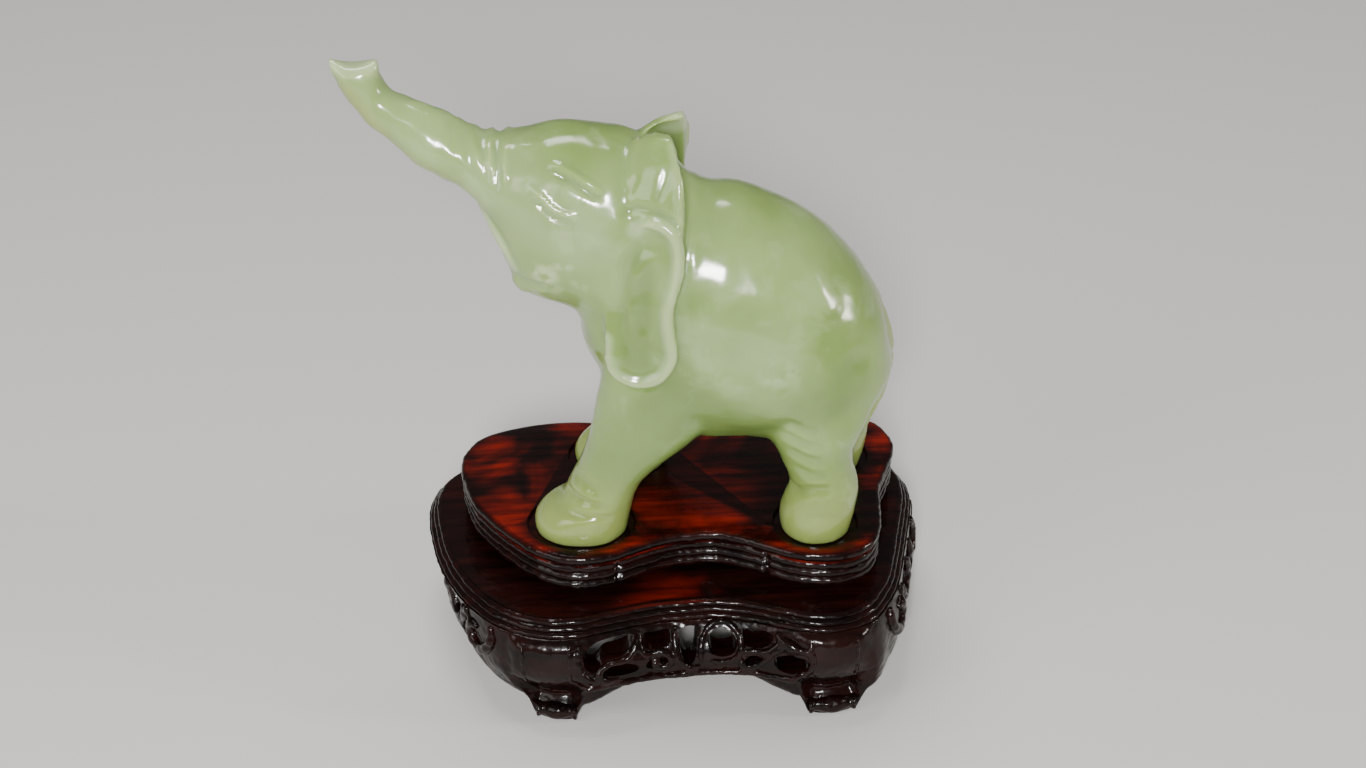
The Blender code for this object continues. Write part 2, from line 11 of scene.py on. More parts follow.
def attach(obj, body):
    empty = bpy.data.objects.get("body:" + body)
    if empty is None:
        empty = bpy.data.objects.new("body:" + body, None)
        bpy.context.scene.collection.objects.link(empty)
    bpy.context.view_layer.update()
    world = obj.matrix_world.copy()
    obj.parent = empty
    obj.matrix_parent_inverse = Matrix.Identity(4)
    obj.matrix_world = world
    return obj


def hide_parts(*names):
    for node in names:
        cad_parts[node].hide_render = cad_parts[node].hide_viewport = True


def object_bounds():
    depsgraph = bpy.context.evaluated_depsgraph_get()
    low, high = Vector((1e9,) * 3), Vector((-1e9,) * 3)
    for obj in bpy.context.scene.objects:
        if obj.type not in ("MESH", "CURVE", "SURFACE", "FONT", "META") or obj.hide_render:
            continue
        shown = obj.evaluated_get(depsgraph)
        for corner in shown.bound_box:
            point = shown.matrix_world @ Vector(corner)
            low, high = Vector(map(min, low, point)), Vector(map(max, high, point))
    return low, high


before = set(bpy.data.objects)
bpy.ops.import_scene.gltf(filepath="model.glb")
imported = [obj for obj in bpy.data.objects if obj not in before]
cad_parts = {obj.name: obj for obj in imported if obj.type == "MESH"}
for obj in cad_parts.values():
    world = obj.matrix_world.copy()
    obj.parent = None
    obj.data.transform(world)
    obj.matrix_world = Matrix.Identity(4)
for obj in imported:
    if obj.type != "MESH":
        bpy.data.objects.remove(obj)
cad_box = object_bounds()

MM = 0.001

# Places taken from the solids, in mm
STAND_TOP = 36.0
SEAT_GAP = 0.3
SOCKET_DEPTH = 0.8
FIGURE_TURN = math.radians(-4.2)
FIGURE_SPOT = Vector((7.554, -0.595, STAND_TOP - SOCKET_DEPTH + SEAT_GAP))
PLATE_SPOT = Vector((7.554, -0.595))
FAR_FRONT_STEP = 7.6
FAR_HIND_STEP = 3.7

BODY_VOXEL = 0.8
SKIN_VOXEL = 0.62

# Sections from inside the trunk's cupped tip to the rump, in mm: upper x and z, lower x and z, half width
SPINE = (
    (-63.2, 101.6, -64.6, 101.8, 0.4),
    (-60.6, 101.8, -67.2, 102.3, 1.1),
    (-59.3, 101.7, -68.7, 102.5, 1.8),
    (-58.8, 100.7, -69.0, 101.5, 2.6),
    (-59.1, 99.1, -67.9, 98.6, 3.4),
    (-58.4, 97.2, -66.2, 93.5, 4.0),
    (-56.7, 94.5, -62.3, 88.4, 4.6),
    (-50.5, 92.3, -55.6, 82.8, 5.4),
    (-44.8, 89.8, -49.2, 78.5, 6.4),
    (-38.3, 86.6, -42.3, 73.9, 7.8),
    (-31.5, 87.0, -38.6, 67.8, 10.0),
    (-24.6, 88.5, -35.8, 58.8, 12.5),
    (-17.7, 88.0, -31.2, 51.8, 14.5),
    (-10.7, 86.6, -22.1, 48.2, 16.0),
    (-3.0, 81.8, -19.6, 38.0, 17.5),
    (3.8, 75.8, -8.6, 20.5, 19.0),
    (11.3, 74.3, 4.0, 17.8, 20.3),
    (18.8, 71.2, 9.5, 18.1, 21.0),
    (27.2, 66.1, 16.6, 17.8, 21.2),
    (34.8, 58.2, 25.4, 17.5, 19.9),
    (40.6, 48.6, 33.4, 20.8, 16.4),
    (43.0, 40.0, 39.2, 26.4, 10.4),
    (43.6, 36.0, 42.0, 31.0, 4.8),
)

# Legs from inside the body to just below the sole: front x and z, rear x and z, middle y, half width
FRONT_LEG = (
    (-15.0, 44.0, 8.0, 40.0, -9.5, 8.5),
    (-17.8, 31.5, 6.0, 27.0, -10.0, 8.8),
    (-19.2, 24.0, 1.5, 21.6, -10.6, 8.6),
    (-21.0, 17.5, -4.4, 16.8, -11.1, 8.2),
    (-23.6, 11.5, -8.2, 12.5, -11.6, 7.9),
    (-25.6, 7.8, -10.0, 8.5, -11.9, 7.8),
    (-28.8, 6.2, -10.8, 5.5, -12.1, 8.1),
    (-31.2, 3.6, -11.2, 3.2, -12.2, 8.4),
    (-31.8, 1.4, -11.4, 1.3, -12.2, 8.4),
    (-30.8, -2.0, -12.0, -2.0, -12.2, 7.9),
)
HIND_LEG = (
    (14.0, 44.0, 38.6, 41.0, -9.0, 9.6),
    (15.0, 31.0, 39.4, 31.5, -9.8, 9.6),
    (17.3, 24.0, 37.4, 24.5, -10.6, 9.0),
    (19.6, 19.5, 35.6, 19.5, -11.2, 8.2),
    (21.4, 15.2, 35.8, 15.5, -11.6, 7.8),
    (22.3, 12.2, 36.7, 12.5, -11.8, 7.6),
    (22.6, 10.2, 36.9, 10.0, -12.0, 7.5),
    (21.4, 7.5, 36.8, 7.5, -12.0, 7.8),
    (20.4, 4.0, 36.4, 4.5, -12.0, 8.0),
    (20.4, 1.6, 35.8, 1.6, -12.0, 7.8),
    (21.2, -2.0, 34.9, -2.0, -12.0, 7.3),
)
FOOT_SECTION = -2

# Tail down the rump: x, z, radius
TAIL = (
    (41.0, 46.0, 1.0), (42.6, 39.0, 1.4), (42.5, 32.0, 1.5), (41.0, 26.0, 1.6),
    (38.6, 21.0, 1.9), (36.6, 16.5, 2.2), (35.8, 13.0, 1.0),
)

# The near ear, row by row from its top to its lobe: x, y and z of its front, middle and rear
EAR = (
    ((-11.0, -3.6, 85.6), (-6.4, -6.6, 89.0), (-2.2, -8.4, 89.8)),
    ((-13.0, -8.2, 82.0), (-6.8, -11.2, 84.6), (-0.9, -11.8, 86.2)),
    ((-14.2, -11.6, 77.0), (-7.2, -14.0, 79.0), (-0.4, -15.2, 80.4)),
    ((-14.6, -12.2, 71.4), (-7.4, -15.4, 72.8), (-0.1, -17.6, 73.4)),
    ((-15.0, -13.6, 65.4), (-8.2, -16.8, 66.0), (-0.7, -19.3, 66.0)),
    ((-15.4, -15.2, 59.0), (-9.0, -18.3, 59.0), (-2.6, -20.4, 58.4)),
    ((-15.5, -17.6, 53.5), (-9.2, -19.5, 53.0), (-2.3, -21.0, 52.6)),
    ((-15.2, -19.8, 48.2), (-8.8, -20.4, 47.2), (-1.5, -21.5, 47.6)),
    ((-12.6, -20.8, 42.8), (-8.6, -21.6, 41.2), (-3.8, -21.7, 42.8)),
)
# Paler clouds in the stone: x, y and z of each, how far it reaches and how pale it is
CLOUD_PATCHES = (
    (-27.4, 13.4, 62.4, 3.0, 1.0), (-23.4, 14.7, 64.4, 2.2, 0.8), (-26.0, 12.8, 58.6, 2.4, 0.7),
    (-20.6, 14.8, 60.4, 2.0, 0.5), (19.0, 21.0, 44.0, 5.0, 0.45), (10.0, 22.0, 41.0, 3.0, 0.25),
)
# Paler, shaded and warm places: points x, y, z along each, full up to, gone at, and how strong
PALE_PATHS = (
    (((-36.0, 8.0, 79.0), (-22.0, 14.0, 72.0)), 3.0, 14.0, 0.42),
    (((4.0, 22.0, 50.0), (20.0, 22.0, 50.0)), 3.0, 11.0, 0.28),
)
SHADED_PATHS = ((((-2.0, 20.0, 34.0), (-12.0, 20.0, 20.0)), 3.0, 15.0, 0.55),)
HIP_PATHS = ((((26.0, -20.0, 34.0), (33.0, -18.0, 40.0)), 3.0, 10.0, 0.5),)
WARM_PATHS = (
    (((-66.0, 0.0, 94.0), (-57.0, 0.0, 83.5), (-43.5, 0.0, 73.8)), 1.5, 5.5, 1.0),
    (((44.0, 0.0, 52.0), (44.5, 0.0, 36.0), (40.0, 0.0, 24.0)), 2.0, 9.0, 0.7),
)
FAR_EAR_TIP = (-1.0, 9.6, 86.0)
BELLY_MIDDLE = 6.0
BELLY_TOP = 50.0
# The rolled rim of the ear's flap, from above its fold down the rear and round the lobe
FLAP_RIM = (
    (-9.4, -15.2, 73.4), (-7.0, -16.2, 75.2), (-3.8, -16.8, 75.0), (-1.5, -17.7, 73.0),
    (-0.7, -18.6, 69.6), (-0.9, -19.4, 65.7), (-2.2, -20.1, 61.0), (-3.0, -20.6, 57.6),
    (-2.6, -21.1, 52.6), (-2.0, -21.4, 48.5), (-3.4, -21.6, 44.8), (-6.1, -21.6, 42.4),
    (-10.0, -21.3, 41.8), (-13.2, -20.6, 43.5), (-15.0, -19.7, 46.5), (-15.4, -18.8, 50.5),
)
FAR_EAR_DROP = 2.3
EAR_THICKNESS = 3.2
EAR_RIM_RADIUS = 1.25
EAR_RIM_SINK = 0.35
EAR_RIM_TAPER = 14
REAR_EDGE_ROWS = slice(4, 30)
FAR_EAR_SWING = 2.2
TIP_DIP = 1.7
TIP_MIDDLE = -63.8
TIP_HALF_WIDTH = 5.2
TIP_BASE = 97.0
TIP_TOP = 102.4
TIP_LEAN = 2.6
LEAN_START = -44.0
LEAN_LENGTH = 16.0
# Lumps left by the hand: their size and depth, coarse and fine, and how much more the trunk has
LUMPS = ((8.0, 0.30), (3.0, 0.09))
TRUNK_LUMPS = 1.3
TRUNK_REACH = (-48.0, -34.0)

# Carved strokes on the side of the figure: points (x, z) in mm, half width and depth (+ raised)
EYE_STROKES = (
    (((-25.6, 84.4), (-23.3, 83.9), (-19.9, 82.2), (-15.8, 80.2)), 0.60, 0.75),
    (((-24.4, 82.7), (-22.2, 82.2), (-19.2, 80.7), (-16.2, 79.0)), 0.75, -0.45),
    (((-29.4, 80.4), (-27.4, 78.9), (-25.6, 77.2), (-22.9, 76.0), (-20.6, 75.9)), 0.55, 0.65),
    (((-28.8, 78.7), (-27.0, 77.1), (-25.2, 75.5), (-22.0, 74.4)), 0.80, -0.40),
    (((-23.6, 79.8), (-21.4, 79.2), (-19.4, 78.6)), 1.8, 0.22),
)
TRUNK_STROKES = (
    (((-44.9, 90.5), (-44.8, 88.6), (-44.0, 86.2), (-43.2, 83.5)), 0.9, -0.22),
    (((-42.6, 89.0), (-42.4, 86.9), (-41.2, 83.9), (-39.8, 80.8)), 1.0, -0.38),
    (((-39.4, 88.2), (-39.2, 86.0), (-38.4, 83.2), (-37.6, 80.5)), 0.8, -0.35),
    (((-37.6, 87.2), (-37.4, 84.8), (-37.0, 82.0)), 0.6, 0.30),
    (((-36.1, 87.0), (-36.3, 85.0), (-36.0, 82.0), (-35.9, 78.8)), 0.8, -0.50),
    (((-34.4, 86.6), (-34.4, 84.0), (-34.2, 80.4)), 0.6, 0.35),
)
FACE_STROKES = (
    (((-48.0, 77.6), (-45.0, 75.4), (-42.0, 73.0), (-39.4, 70.6), (-37.2, 67.8), (-35.4, 64.6),
      (-34.0, 61.0)),
     0.75, 0.80),
    (((-44.0, 76.0), (-40.6, 73.2), (-37.6, 70.2), (-35.0, 66.8), (-33.4, 63.0)), 0.9, -0.35),
    (((-34.8, 56.4), (-33.2, 55.0), (-31.8, 53.6)), 1.7, 1.0),
    (((-34.0, 59.6), (-31.4, 58.4), (-27.0, 58.6)), 1.1, -0.45),
)
EAR_STROKES = (
    (((-11.6, 76.2), (-9.0, 77.6), (-6.0, 77.6), (-3.2, 76.8), (-0.8, 75.0)), 0.8, -0.60),
    (((-10.4, 80.0), (-8.6, 83.4)), 0.6, -0.25),
    (((-5.0, 79.4), (-3.6, 82.6), (-3.0, 85.6)), 0.9, -0.30),
    (((-11.6, 60.0), (-11.0, 65.5), (-8.6, 69.6), (-5.6, 71.6)), 1.7, -0.50),
    (((-8.0, 52.0), (-7.8, 58.0), (-5.6, 66.0)), 1.6, -0.40),
    (((-10.2, 54.0), (-10.4, 60.0), (-8.0, 67.0)), 1.0, 0.30),
    (((-11.4, 47.6), (-12.0, 53.0), (-12.4, 58.0)), 1.2, -0.30),
)
BACK_STROKES = (
    (((-0.4, 84.0), (0.6, 78.0), (0.8, 72.0), (0.2, 66.0), (-0.6, 60.0)), 1.3, -0.55),
    (((-13.8, 41.0), (-9.0, 39.2), (-4.0, 40.2)), 1.4, -0.45),
    (((6.0, 27.0), (11.0, 25.6), (17.0, 26.6), (21.0, 29.5)), 2.4, -0.30),
    (((30.0, 56.0), (34.0, 49.0), (36.0, 41.0)), 2.6, -0.35),
    (((24.0, 50.0), (28.4, 43.0), (30.4, 35.0)), 3.0, 0.35),
)
FRONT_LEG_STROKES = (
    (((-27.8, 9.4), (-24.0, 10.2), (-20.2, 10.4), (-16.0, 9.4)), 0.8, -0.60),
    (((-25.6, 6.9), (-21.8, 7.3), (-18.2, 7.4), (-14.6, 6.7)), 0.8, -0.50),
    (((-24.0, 13.8), (-20.6, 14.0), (-17.0, 13.0)), 1.1, -0.35),
)
HIND_LEG_STROKES = (
    (((20.0, 11.4), (23.6, 11.6), (27.3, 13.6), (31.2, 13.8)), 1.3, -0.95),
    (((20.4, 31.0), (24.4, 29.2), (28.0, 28.4)), 1.3, -0.45),
    (((20.6, 27.4), (24.6, 25.6), (28.6, 24.8)), 1.3, -0.50),
    (((21.4, 23.6), (25.2, 21.8), (29.2, 21.0)), 1.3, -0.50),
    (((22.4, 19.6), (26.2, 17.8), (30.0, 17.2)), 1.3, -0.45),
    (((24.4, 6.6), (28.6, 7.0), (32.6, 6.6)), 1.1, -0.30),
)


def smooth_rows(rows, steps, closed=False):
    """Rows of numbers along a smooth curve through the given ones, steps of them for each."""
    count = len(rows)
    result = []
    for span in range(count if closed else count - 1):
        if closed:
            near = [rows[(span + shift) % count] for shift in (-1, 0, 1, 2)]
        else:
            near = [rows[min(max(span + shift, 0), count - 1)] for shift in (-1, 0, 1, 2)]
        for step in range(steps):
            t = step / steps
            result.append([0.5 * (2 * b + (c - a) * t + (2 * a - 5 * b + 4 * c - d) * t * t
                                  + (3 * b - a - 3 * c + d) * t ** 3) for a, b, c, d in zip(*near)])
    if not closed:
        result.append(list(rows[-1]))
    return result


def smooth_step(value):
    value = min(max(value, 0.0), 1.0)
    return value * value * (3 - 2 * value)


def extruded_rings(placed, sides):
    """A closed skin through rings: a unit circle carried from one placement to the next."""
    bm = bmesh.new()
    bmesh.ops.create_circle(bm, cap_ends=True, segments=sides, radius=1.0, matrix=placed[0])
    rim = bm.edges[:]
    for before, after in zip(placed, placed[1:]):
        grown = bmesh.ops.extrude_edge_only(bm, edges=rim)["geom"]
        moved = [item for item in grown if isinstance(item, bmesh.types.BMVert)]
        rim = [item for item in grown if isinstance(item, bmesh.types.BMEdge)]
        bmesh.ops.transform(bm, matrix=after @ before.inverted(), verts=moved)
    bmesh.ops.edgeloop_fill(bm, edges=rim)
    bmesh.ops.recalc_face_normals(bm, faces=bm.faces[:])
    return bm


def ring_matrix(section):
    upper_x, upper_z, lower_x, lower_z, middle_y, half_width = section
    half = Vector((upper_x - lower_x, 0.0, upper_z - lower_z)) * 0.5
    across = Vector((0.0, half_width, 0.0))
    normal = half.normalized().cross(across.normalized())
    middle = Vector(((upper_x + lower_x) * 0.5, middle_y, (upper_z + lower_z) * 0.5))
    matrix = Matrix.Identity(4)
    for column, vector in enumerate((half, across, normal, middle)):
        for row in range(3):
            matrix[row][column] = vector[row]
    return matrix


def loft(sections, sides=56, steps=8):
    return extruded_rings([ring_matrix(row) for row in smooth_rows(sections, steps)], sides)


def tube(points, radii, sides=16):
    placed = []
    for index, point in enumerate(points):
        ahead = points[min(index + 1, len(points) - 1)]
        behind = points[max(index - 1, 0)]
        turn = (ahead - behind).to_track_quat("Z", "Y").to_matrix().to_4x4()
        placed.append(Matrix.Translation(point) @ turn @ Matrix.Scale(radii[index], 4))
    return extruded_rings(placed, sides)


def mesh_of(bm, name):
    data = bpy.data.meshes.new(name)
    bm.to_mesh(data)
    bm.free()
    return data


def add_object(name, data):
    thing = bpy.data.objects.new(name, data)
    bpy.context.scene.collection.objects.link(thing)
    return thing


def joined(name, parts):
    """One object from several shapes."""
    bm = bmesh.new()
    for part in parts:
        data = mesh_of(part, "part") if isinstance(part, bmesh.types.BMesh) else part
        bm.from_mesh(data)
        bpy.data.meshes.remove(data)
    return add_object(name, mesh_of(bm, name))


def baked(thing):
    """The mesh of an object with its modifiers applied; the object itself goes."""
    graph = bpy.context.evaluated_depsgraph_get()
    data = bpy.data.meshes.new_from_object(thing.evaluated_get(graph))
    bpy.data.objects.remove(thing, do_unlink=True)
    return data


def melted(name, parts, voxel, passes):
    """Parts melted into one skin of even grain."""
    rough = joined(name, parts)
    remesh = rough.modifiers.new("skin", "REMESH")
    remesh.mode = "VOXEL"
    remesh.voxel_size = voxel
    polish = rough.modifiers.new("polish", "SMOOTH")
    polish.factor = 0.5
    polish.iterations = passes
    return baked(rough)


def without_crumbs(bm):
    """Takes out slivers that lie double and loose crumbs, so that one closed skin is left."""
    single = {}
    doubled = []
    for face in bm.faces:
        corners = frozenset(face.verts)
        if corners in single:
            doubled += [face, single.pop(corners)]
        else:
            single[corners] = face
    bmesh.ops.delete(bm, geom=doubled, context="FACES")
    left = set(bm.verts)
    islands = []
    while left:
        waiting = [left.pop()]
        island = waiting[:]
        while waiting:
            for edge in waiting.pop().link_edges:
                for vert in edge.verts:
                    if vert in left:
                        left.remove(vert)
                        waiting.append(vert)
                        island.append(vert)
        islands.append(island)
    islands.sort(key=len)
    crumbs = [vert for island in islands[:-1] for vert in island]
    bmesh.ops.delete(bm, geom=crumbs, context="VERTS")


def ear_rows(side, steps=8):
    flat = [[value for point in row for value in point] for row in EAR]
    rows = []
    smoothed = smooth_rows(flat, steps)
    for index, numbers in enumerate(smoothed):
        points = [numbers[start:start + 3] for start in (0, 3, 6)]
        far = (1 - index / (len(smoothed) - 1)) ** 3 if side > 0 else 0.0
        swing, drop = far * FAR_EAR_SWING / (2 * steps), far * FAR_EAR_DROP
        rows.append([Vector((x + swing * reach, -side * y, z - drop))
                     for reach, (x, y, z) in enumerate(smooth_rows(points, steps))])
    return rows


def ear_sheet(rows):
    bm = bmesh.new()
    across, down = len(rows[0]) - 1, len(rows) - 1
    bmesh.ops.create_grid(bm, x_segments=across, y_segments=down, size=1.0)
    inward = -1.0 if rows[0][0].y > 0 else 1.0
    for vert in bm.verts:
        column = round((vert.co.x + 1) / 2 * across)
        row = round((vert.co.y + 1) / 2 * down)
        vert.co = rows[row][column]
    grown = bmesh.ops.extrude_face_region(bm, geom=bm.faces[:])["geom"]
    moved = [item for item in grown if isinstance(item, bmesh.types.BMVert)]
    bmesh.ops.translate(bm, vec=(0.0, inward * EAR_THICKNESS, 0.0), verts=moved)
    bmesh.ops.recalc_face_normals(bm, faces=bm.faces[:])
    return bm


def ear_rims(side):
    """The flap's rolled rim and the thinner edge of the ear above it, as points and thicknesses."""
    flap = [Vector((x, -side * y, z)) for x, y, z in smooth_rows(FLAP_RIM, 6)]
    rear = [row[-1] for row in ear_rows(side)[REAR_EDGE_ROWS]]
    lines = []
    for line, radius in ((flap, EAR_RIM_RADIUS), (rear, 0.75 * EAR_RIM_RADIUS)):
        sunk = [point + Vector((0.0, -side * EAR_RIM_SINK, 0.0)) for point in line]
        radii = [radius * smooth_step((min(index, len(line) - 1 - index) + 1) / EAR_RIM_TAPER)
                 for index in range(len(line))]
        lines.append((sunk, radii))
    return lines


def far_leg(sections, step):
    return [(fx + step, fz, rx + step, rz, -y, width) for fx, fz, rx, rz, y, width in sections]


LEGS = (FRONT_LEG, HIND_LEG, far_leg(FRONT_LEG, FAR_FRONT_STEP), far_leg(HIND_LEG, FAR_HIND_STEP))


class Skin:
    """Points and normals of a mesh as arrays, to carve with strokes."""

    def __init__(self, data):
        self.data = data
        count = len(data.vertices)
        self.co = np.empty(count * 3)
        data.vertices.foreach_get("co", self.co)
        self.co = self.co.reshape(-1, 3)
        self.normal = np.empty(count * 3)
        data.vertices.foreach_get("normal", self.normal)
        self.normal = self.normal.reshape(-1, 3)

    def store(self):
        self.data.vertices.foreach_set("co", self.co.ravel())
        self.data.update()

    def stroke(self, points, width, depth, side, shift=0.0):
        """Raises or cuts the skin along a line drawn on one side of the figure."""
        path = np.array([(x + shift, z) for x, z in smooth_rows(points, 5)])
        flat = self.co[:, (0, 2)]
        low, high = path.min(0) - 2 * width, path.max(0) + 2 * width
        near = np.where(((flat > low) & (flat < high)).all(1)
                        & (self.co[:, 1] * side > 0) & (self.normal[:, 1] * side > 0.02))[0]
        if not len(near):
            return
        here = flat[near]
        distance = np.full(len(near), 1e9)
        reach = np.zeros(len(near))
        spans = len(path) - 1
        for index in range(spans):
            start, along = path[index], path[index + 1] - path[index]
            t = np.clip(((here - start) @ along) / (along @ along), 0, 1)
            gap = np.linalg.norm(here - start - t[:, None] * along, axis=1)
            closer = gap < distance
            distance[closer] = gap[closer]
            reach[closer] = ((index + t) / spans)[closer]
        shape = np.clip(1 - (distance / (1.6 * width)) ** 2, 0, 1) ** 2
        ends = np.clip(np.minimum(reach, 1 - reach) / 0.22, 0.0, 1.0)
        facing = np.clip(self.normal[near, 1] * side * 2.5, 0, 1)
        amount = depth * shape * (0.25 + 0.75 * ends) * facing
        self.co[near] += self.normal[near] * amount[:, None]


def near_path(co, points):
    """How far each point lies from a line through space."""
    distance = np.full(len(co), 1e9)
    for start, end in zip(points, points[1:]):
        start, along = np.array(start), np.array(end) - np.array(start)
        t = np.clip(((co - start) @ along) / max(along @ along, 1e-9), 0, 1)
        distance = np.minimum(distance, np.linalg.norm(co - start - t[:, None] * along, axis=1))
    return distance


def fade(value, near, far):
    """1 up to near, easing to 0 at far."""
    t = np.clip((far - value) / (far - near), 0, 1)
    return t * t * (3 - 2 * t)


def paint_ears(co, side, pale, deep):
    """Pale along both edges of an ear, painted light glowing through its thin stone, and deeper green down
    its middle, painted shade in the ear's hollow.
    """
    rows = ear_rows(side, 4)
    flap, rear = [line for line, _ in ear_rims(side)]
    middle = [rows[index][len(rows[0]) // 2] for index in range(len(rows) // 2, len(rows) - 3, 3)]
    pale = np.maximum(pale, 0.70 * fade(near_path(co, flap), 0.6, 2.7))
    pale = np.maximum(pale, 0.40 * fade(near_path(co, rear), 0.8, 2.6))
    return pale, np.maximum(deep, 0.5 * fade(near_path(co, middle), 1.5, 5.0))


def paint_jaw_edge(co, normal, side, pale):
    """A painted highlight: pale along the thin edge that runs from the trunk to the chin, seen from the
    side.
    """
    near = (co[:, 1] * side > 0) & (normal[:, 1] * side > 0)
    line = [(x, 0.0, z) for x, z in FACE_STROKES[0][0]]
    gap = near_path(co * (1, 0, 1), line)
    return np.maximum(pale, np.where(near, 0.8 * fade(gap, 0.4, 2.0), 0))


def paint_clouds(co, side, pale):
    for x, y, z, reach, amount in CLOUD_PATCHES:
        gap = np.linalg.norm(co - np.array((x, side * y, z)), axis=1)
        near = np.where(gap < 1.6 * reach)[0]
        ragged = np.array([wobble(co[index], 2.2, 1.7) + wobble(co[index], 0.9, 0.8) for index in near])
        patch = amount * fade(gap[near], 0.2 * reach, 1.6 * reach) * np.clip(0.8 + ragged, 0.0, 1.2)
        pale[near] = np.maximum(pale[near], patch)
    return pale


def paint_along(co, values, paths, side=1):
    for points, near, far, amount in paths:
        line = [(x, side * y, z) for x, y, z in points]
        values = np.maximum(values, amount * fade(near_path(co, line), near, far))
    return values


def paint_figure(skin):
    """Where the figure is paler, warmer and deeper green, kept as attributes of its points: partly the
    stone's own clouds and tones, partly painted light and shade.
    """
    co, normal = skin.co, skin.normal
    pale, warm, deep = np.zeros(len(co)), np.zeros(len(co)), np.zeros(len(co))
    for side in (-1, 1):
        pale, deep = paint_ears(co, side, pale, deep)
        pale = paint_jaw_edge(co, normal, side, pale)
        pale = paint_clouds(co, side, pale)
        pale = paint_along(co, pale, PALE_PATHS, side)
        deep = paint_along(co, deep, SHADED_PATHS, side)
    far_ear = np.linalg.norm(co - np.array(FAR_EAR_TIP), axis=1)
    pale = np.maximum(pale, fade(far_ear, 2.0, 7.0))
    # Painted light glowing through the thin rim of the trunk's cupped tip.
    pale = np.maximum(pale, 0.9 * fade(TIP_TOP - co[:, 2], 1.2, 6.0))
    pale = np.maximum(pale, 0.20 * fade(co[:, 0], -52.0, -30.0))
    downward = fade(normal[:, 2], -0.9, -0.1)
    warm = np.maximum(warm, 0.7 * fade(co[:, 2], 4.0, 26.0))
    warm = np.maximum(warm, 0.8 * downward * fade(co[:, 0], -46.0, -26.0))
    warm = paint_along(co, warm, WARM_PATHS)
    # Painted shade on the faces of the belly that turn downwards.
    belly = fade(np.abs(co[:, 0] - BELLY_MIDDLE), 14.0, 26.0) * (co[:, 2] < BELLY_TOP)
    deep = np.maximum(deep, fade(normal[:, 2], -0.8, 0.1) * belly)
    deep = paint_along(co, deep, HIP_PATHS)
    for name, values in (("pale_stone_and_painted_light", pale), ("warm_stone", warm), ("deep_green_and_painted_shade", deep)):
        layer = skin.data.attributes.new(name, "FLOAT", "POINT")
        layer.data.foreach_set("value", values)


def dip_trunk_rim(skin):
    across = (skin.co[:, 0] - TIP_MIDDLE) / TIP_HALF_WIDTH
    rise = np.clip((skin.co[:, 2] - TIP_BASE) / (TIP_TOP - TIP_BASE), 0, 1)
    rise = rise * rise * (3 - 2 * rise)
    skin.co[:, 2] -= np.where(np.abs(across) < 1, TIP_DIP * rise * (1 - across * across), 0.0)


def carve_figure(data):
    skin = Skin(data)
    for side in (-1, 1):
        for points, width, depth in EYE_STROKES + TRUNK_STROKES + FACE_STROKES + EAR_STROKES + BACK_STROKES:
            skin.stroke(points, width, depth, side)
        for points, width, depth in FRONT_LEG_STROKES:
            skin.stroke(points, width, depth, side, FAR_FRONT_STEP if side > 0 else 0.0)
        for points, width, depth in HIND_LEG_STROKES:
            skin.stroke(points, width, depth, side, FAR_HIND_STEP if side > 0 else 0.0)
    lumps = np.array([sum(wobble(point, size, depth) for size, depth in LUMPS) for point in skin.co])
    lumps *= 1 + TRUNK_LUMPS * fade(skin.co[:, 0], *TRUNK_REACH)
    skin.co += skin.normal * lumps[:, None]
    dip_trunk_rim(skin)
    paint_figure(skin)
    skin.store()


def make_figure():
    spine = [(ux, uz, lx, lz, TIP_LEAN * smooth_step((LEAN_START - ux) / LEAN_LENGTH), width)
             for ux, uz, lx, lz, width in SPINE]
    torso = melted("torso", [loft(spine)] + [loft(leg, sides=36) for leg in LEGS], BODY_VOXEL, 9)
    parts = [torso]
    for side in (-1, 1):
        parts.append(ear_sheet(ear_rows(side)))
        parts += [tube(line, radii) for line, radii in ear_rims(side)]
    tail = smooth_rows(TAIL, 6)
    parts.append(tube([Vector((x, 0.0, z)) for x, z, _ in tail], [r for _, _, r in tail]))
    data = melted("figure", parts, SKIN_VOXEL, 4)
    carve_figure(data)
    bm = bmesh.new()
    bm.from_mesh(data)
    bpy.data.meshes.remove(data)
    without_crumbs(bm)
    cut = bmesh.ops.bisect_plane(bm, geom=bm.verts[:] + bm.edges[:] + bm.faces[:], dist=1e-4,
                                 plane_co=(0, 0, 0), plane_no=(0, 0, 1), clear_inner=True)
    soles = [item for item in cut["geom_cut"] if isinstance(item, bmesh.types.BMEdge)]
    bmesh.ops.holes_fill(bm, edges=soles, sides=0)
    place = (Matrix.Translation(FIGURE_SPOT * MM) @ Matrix.Rotation(FIGURE_TURN, 4, "Z")
             @ Matrix.Scale(MM, 4))
    bmesh.ops.transform(bm, matrix=place, verts=bm.verts[:])
    for face in bm.faces:
        face.smooth = True
    return add_object("carved_elephant", mesh_of(bm, "carved_elephant"))


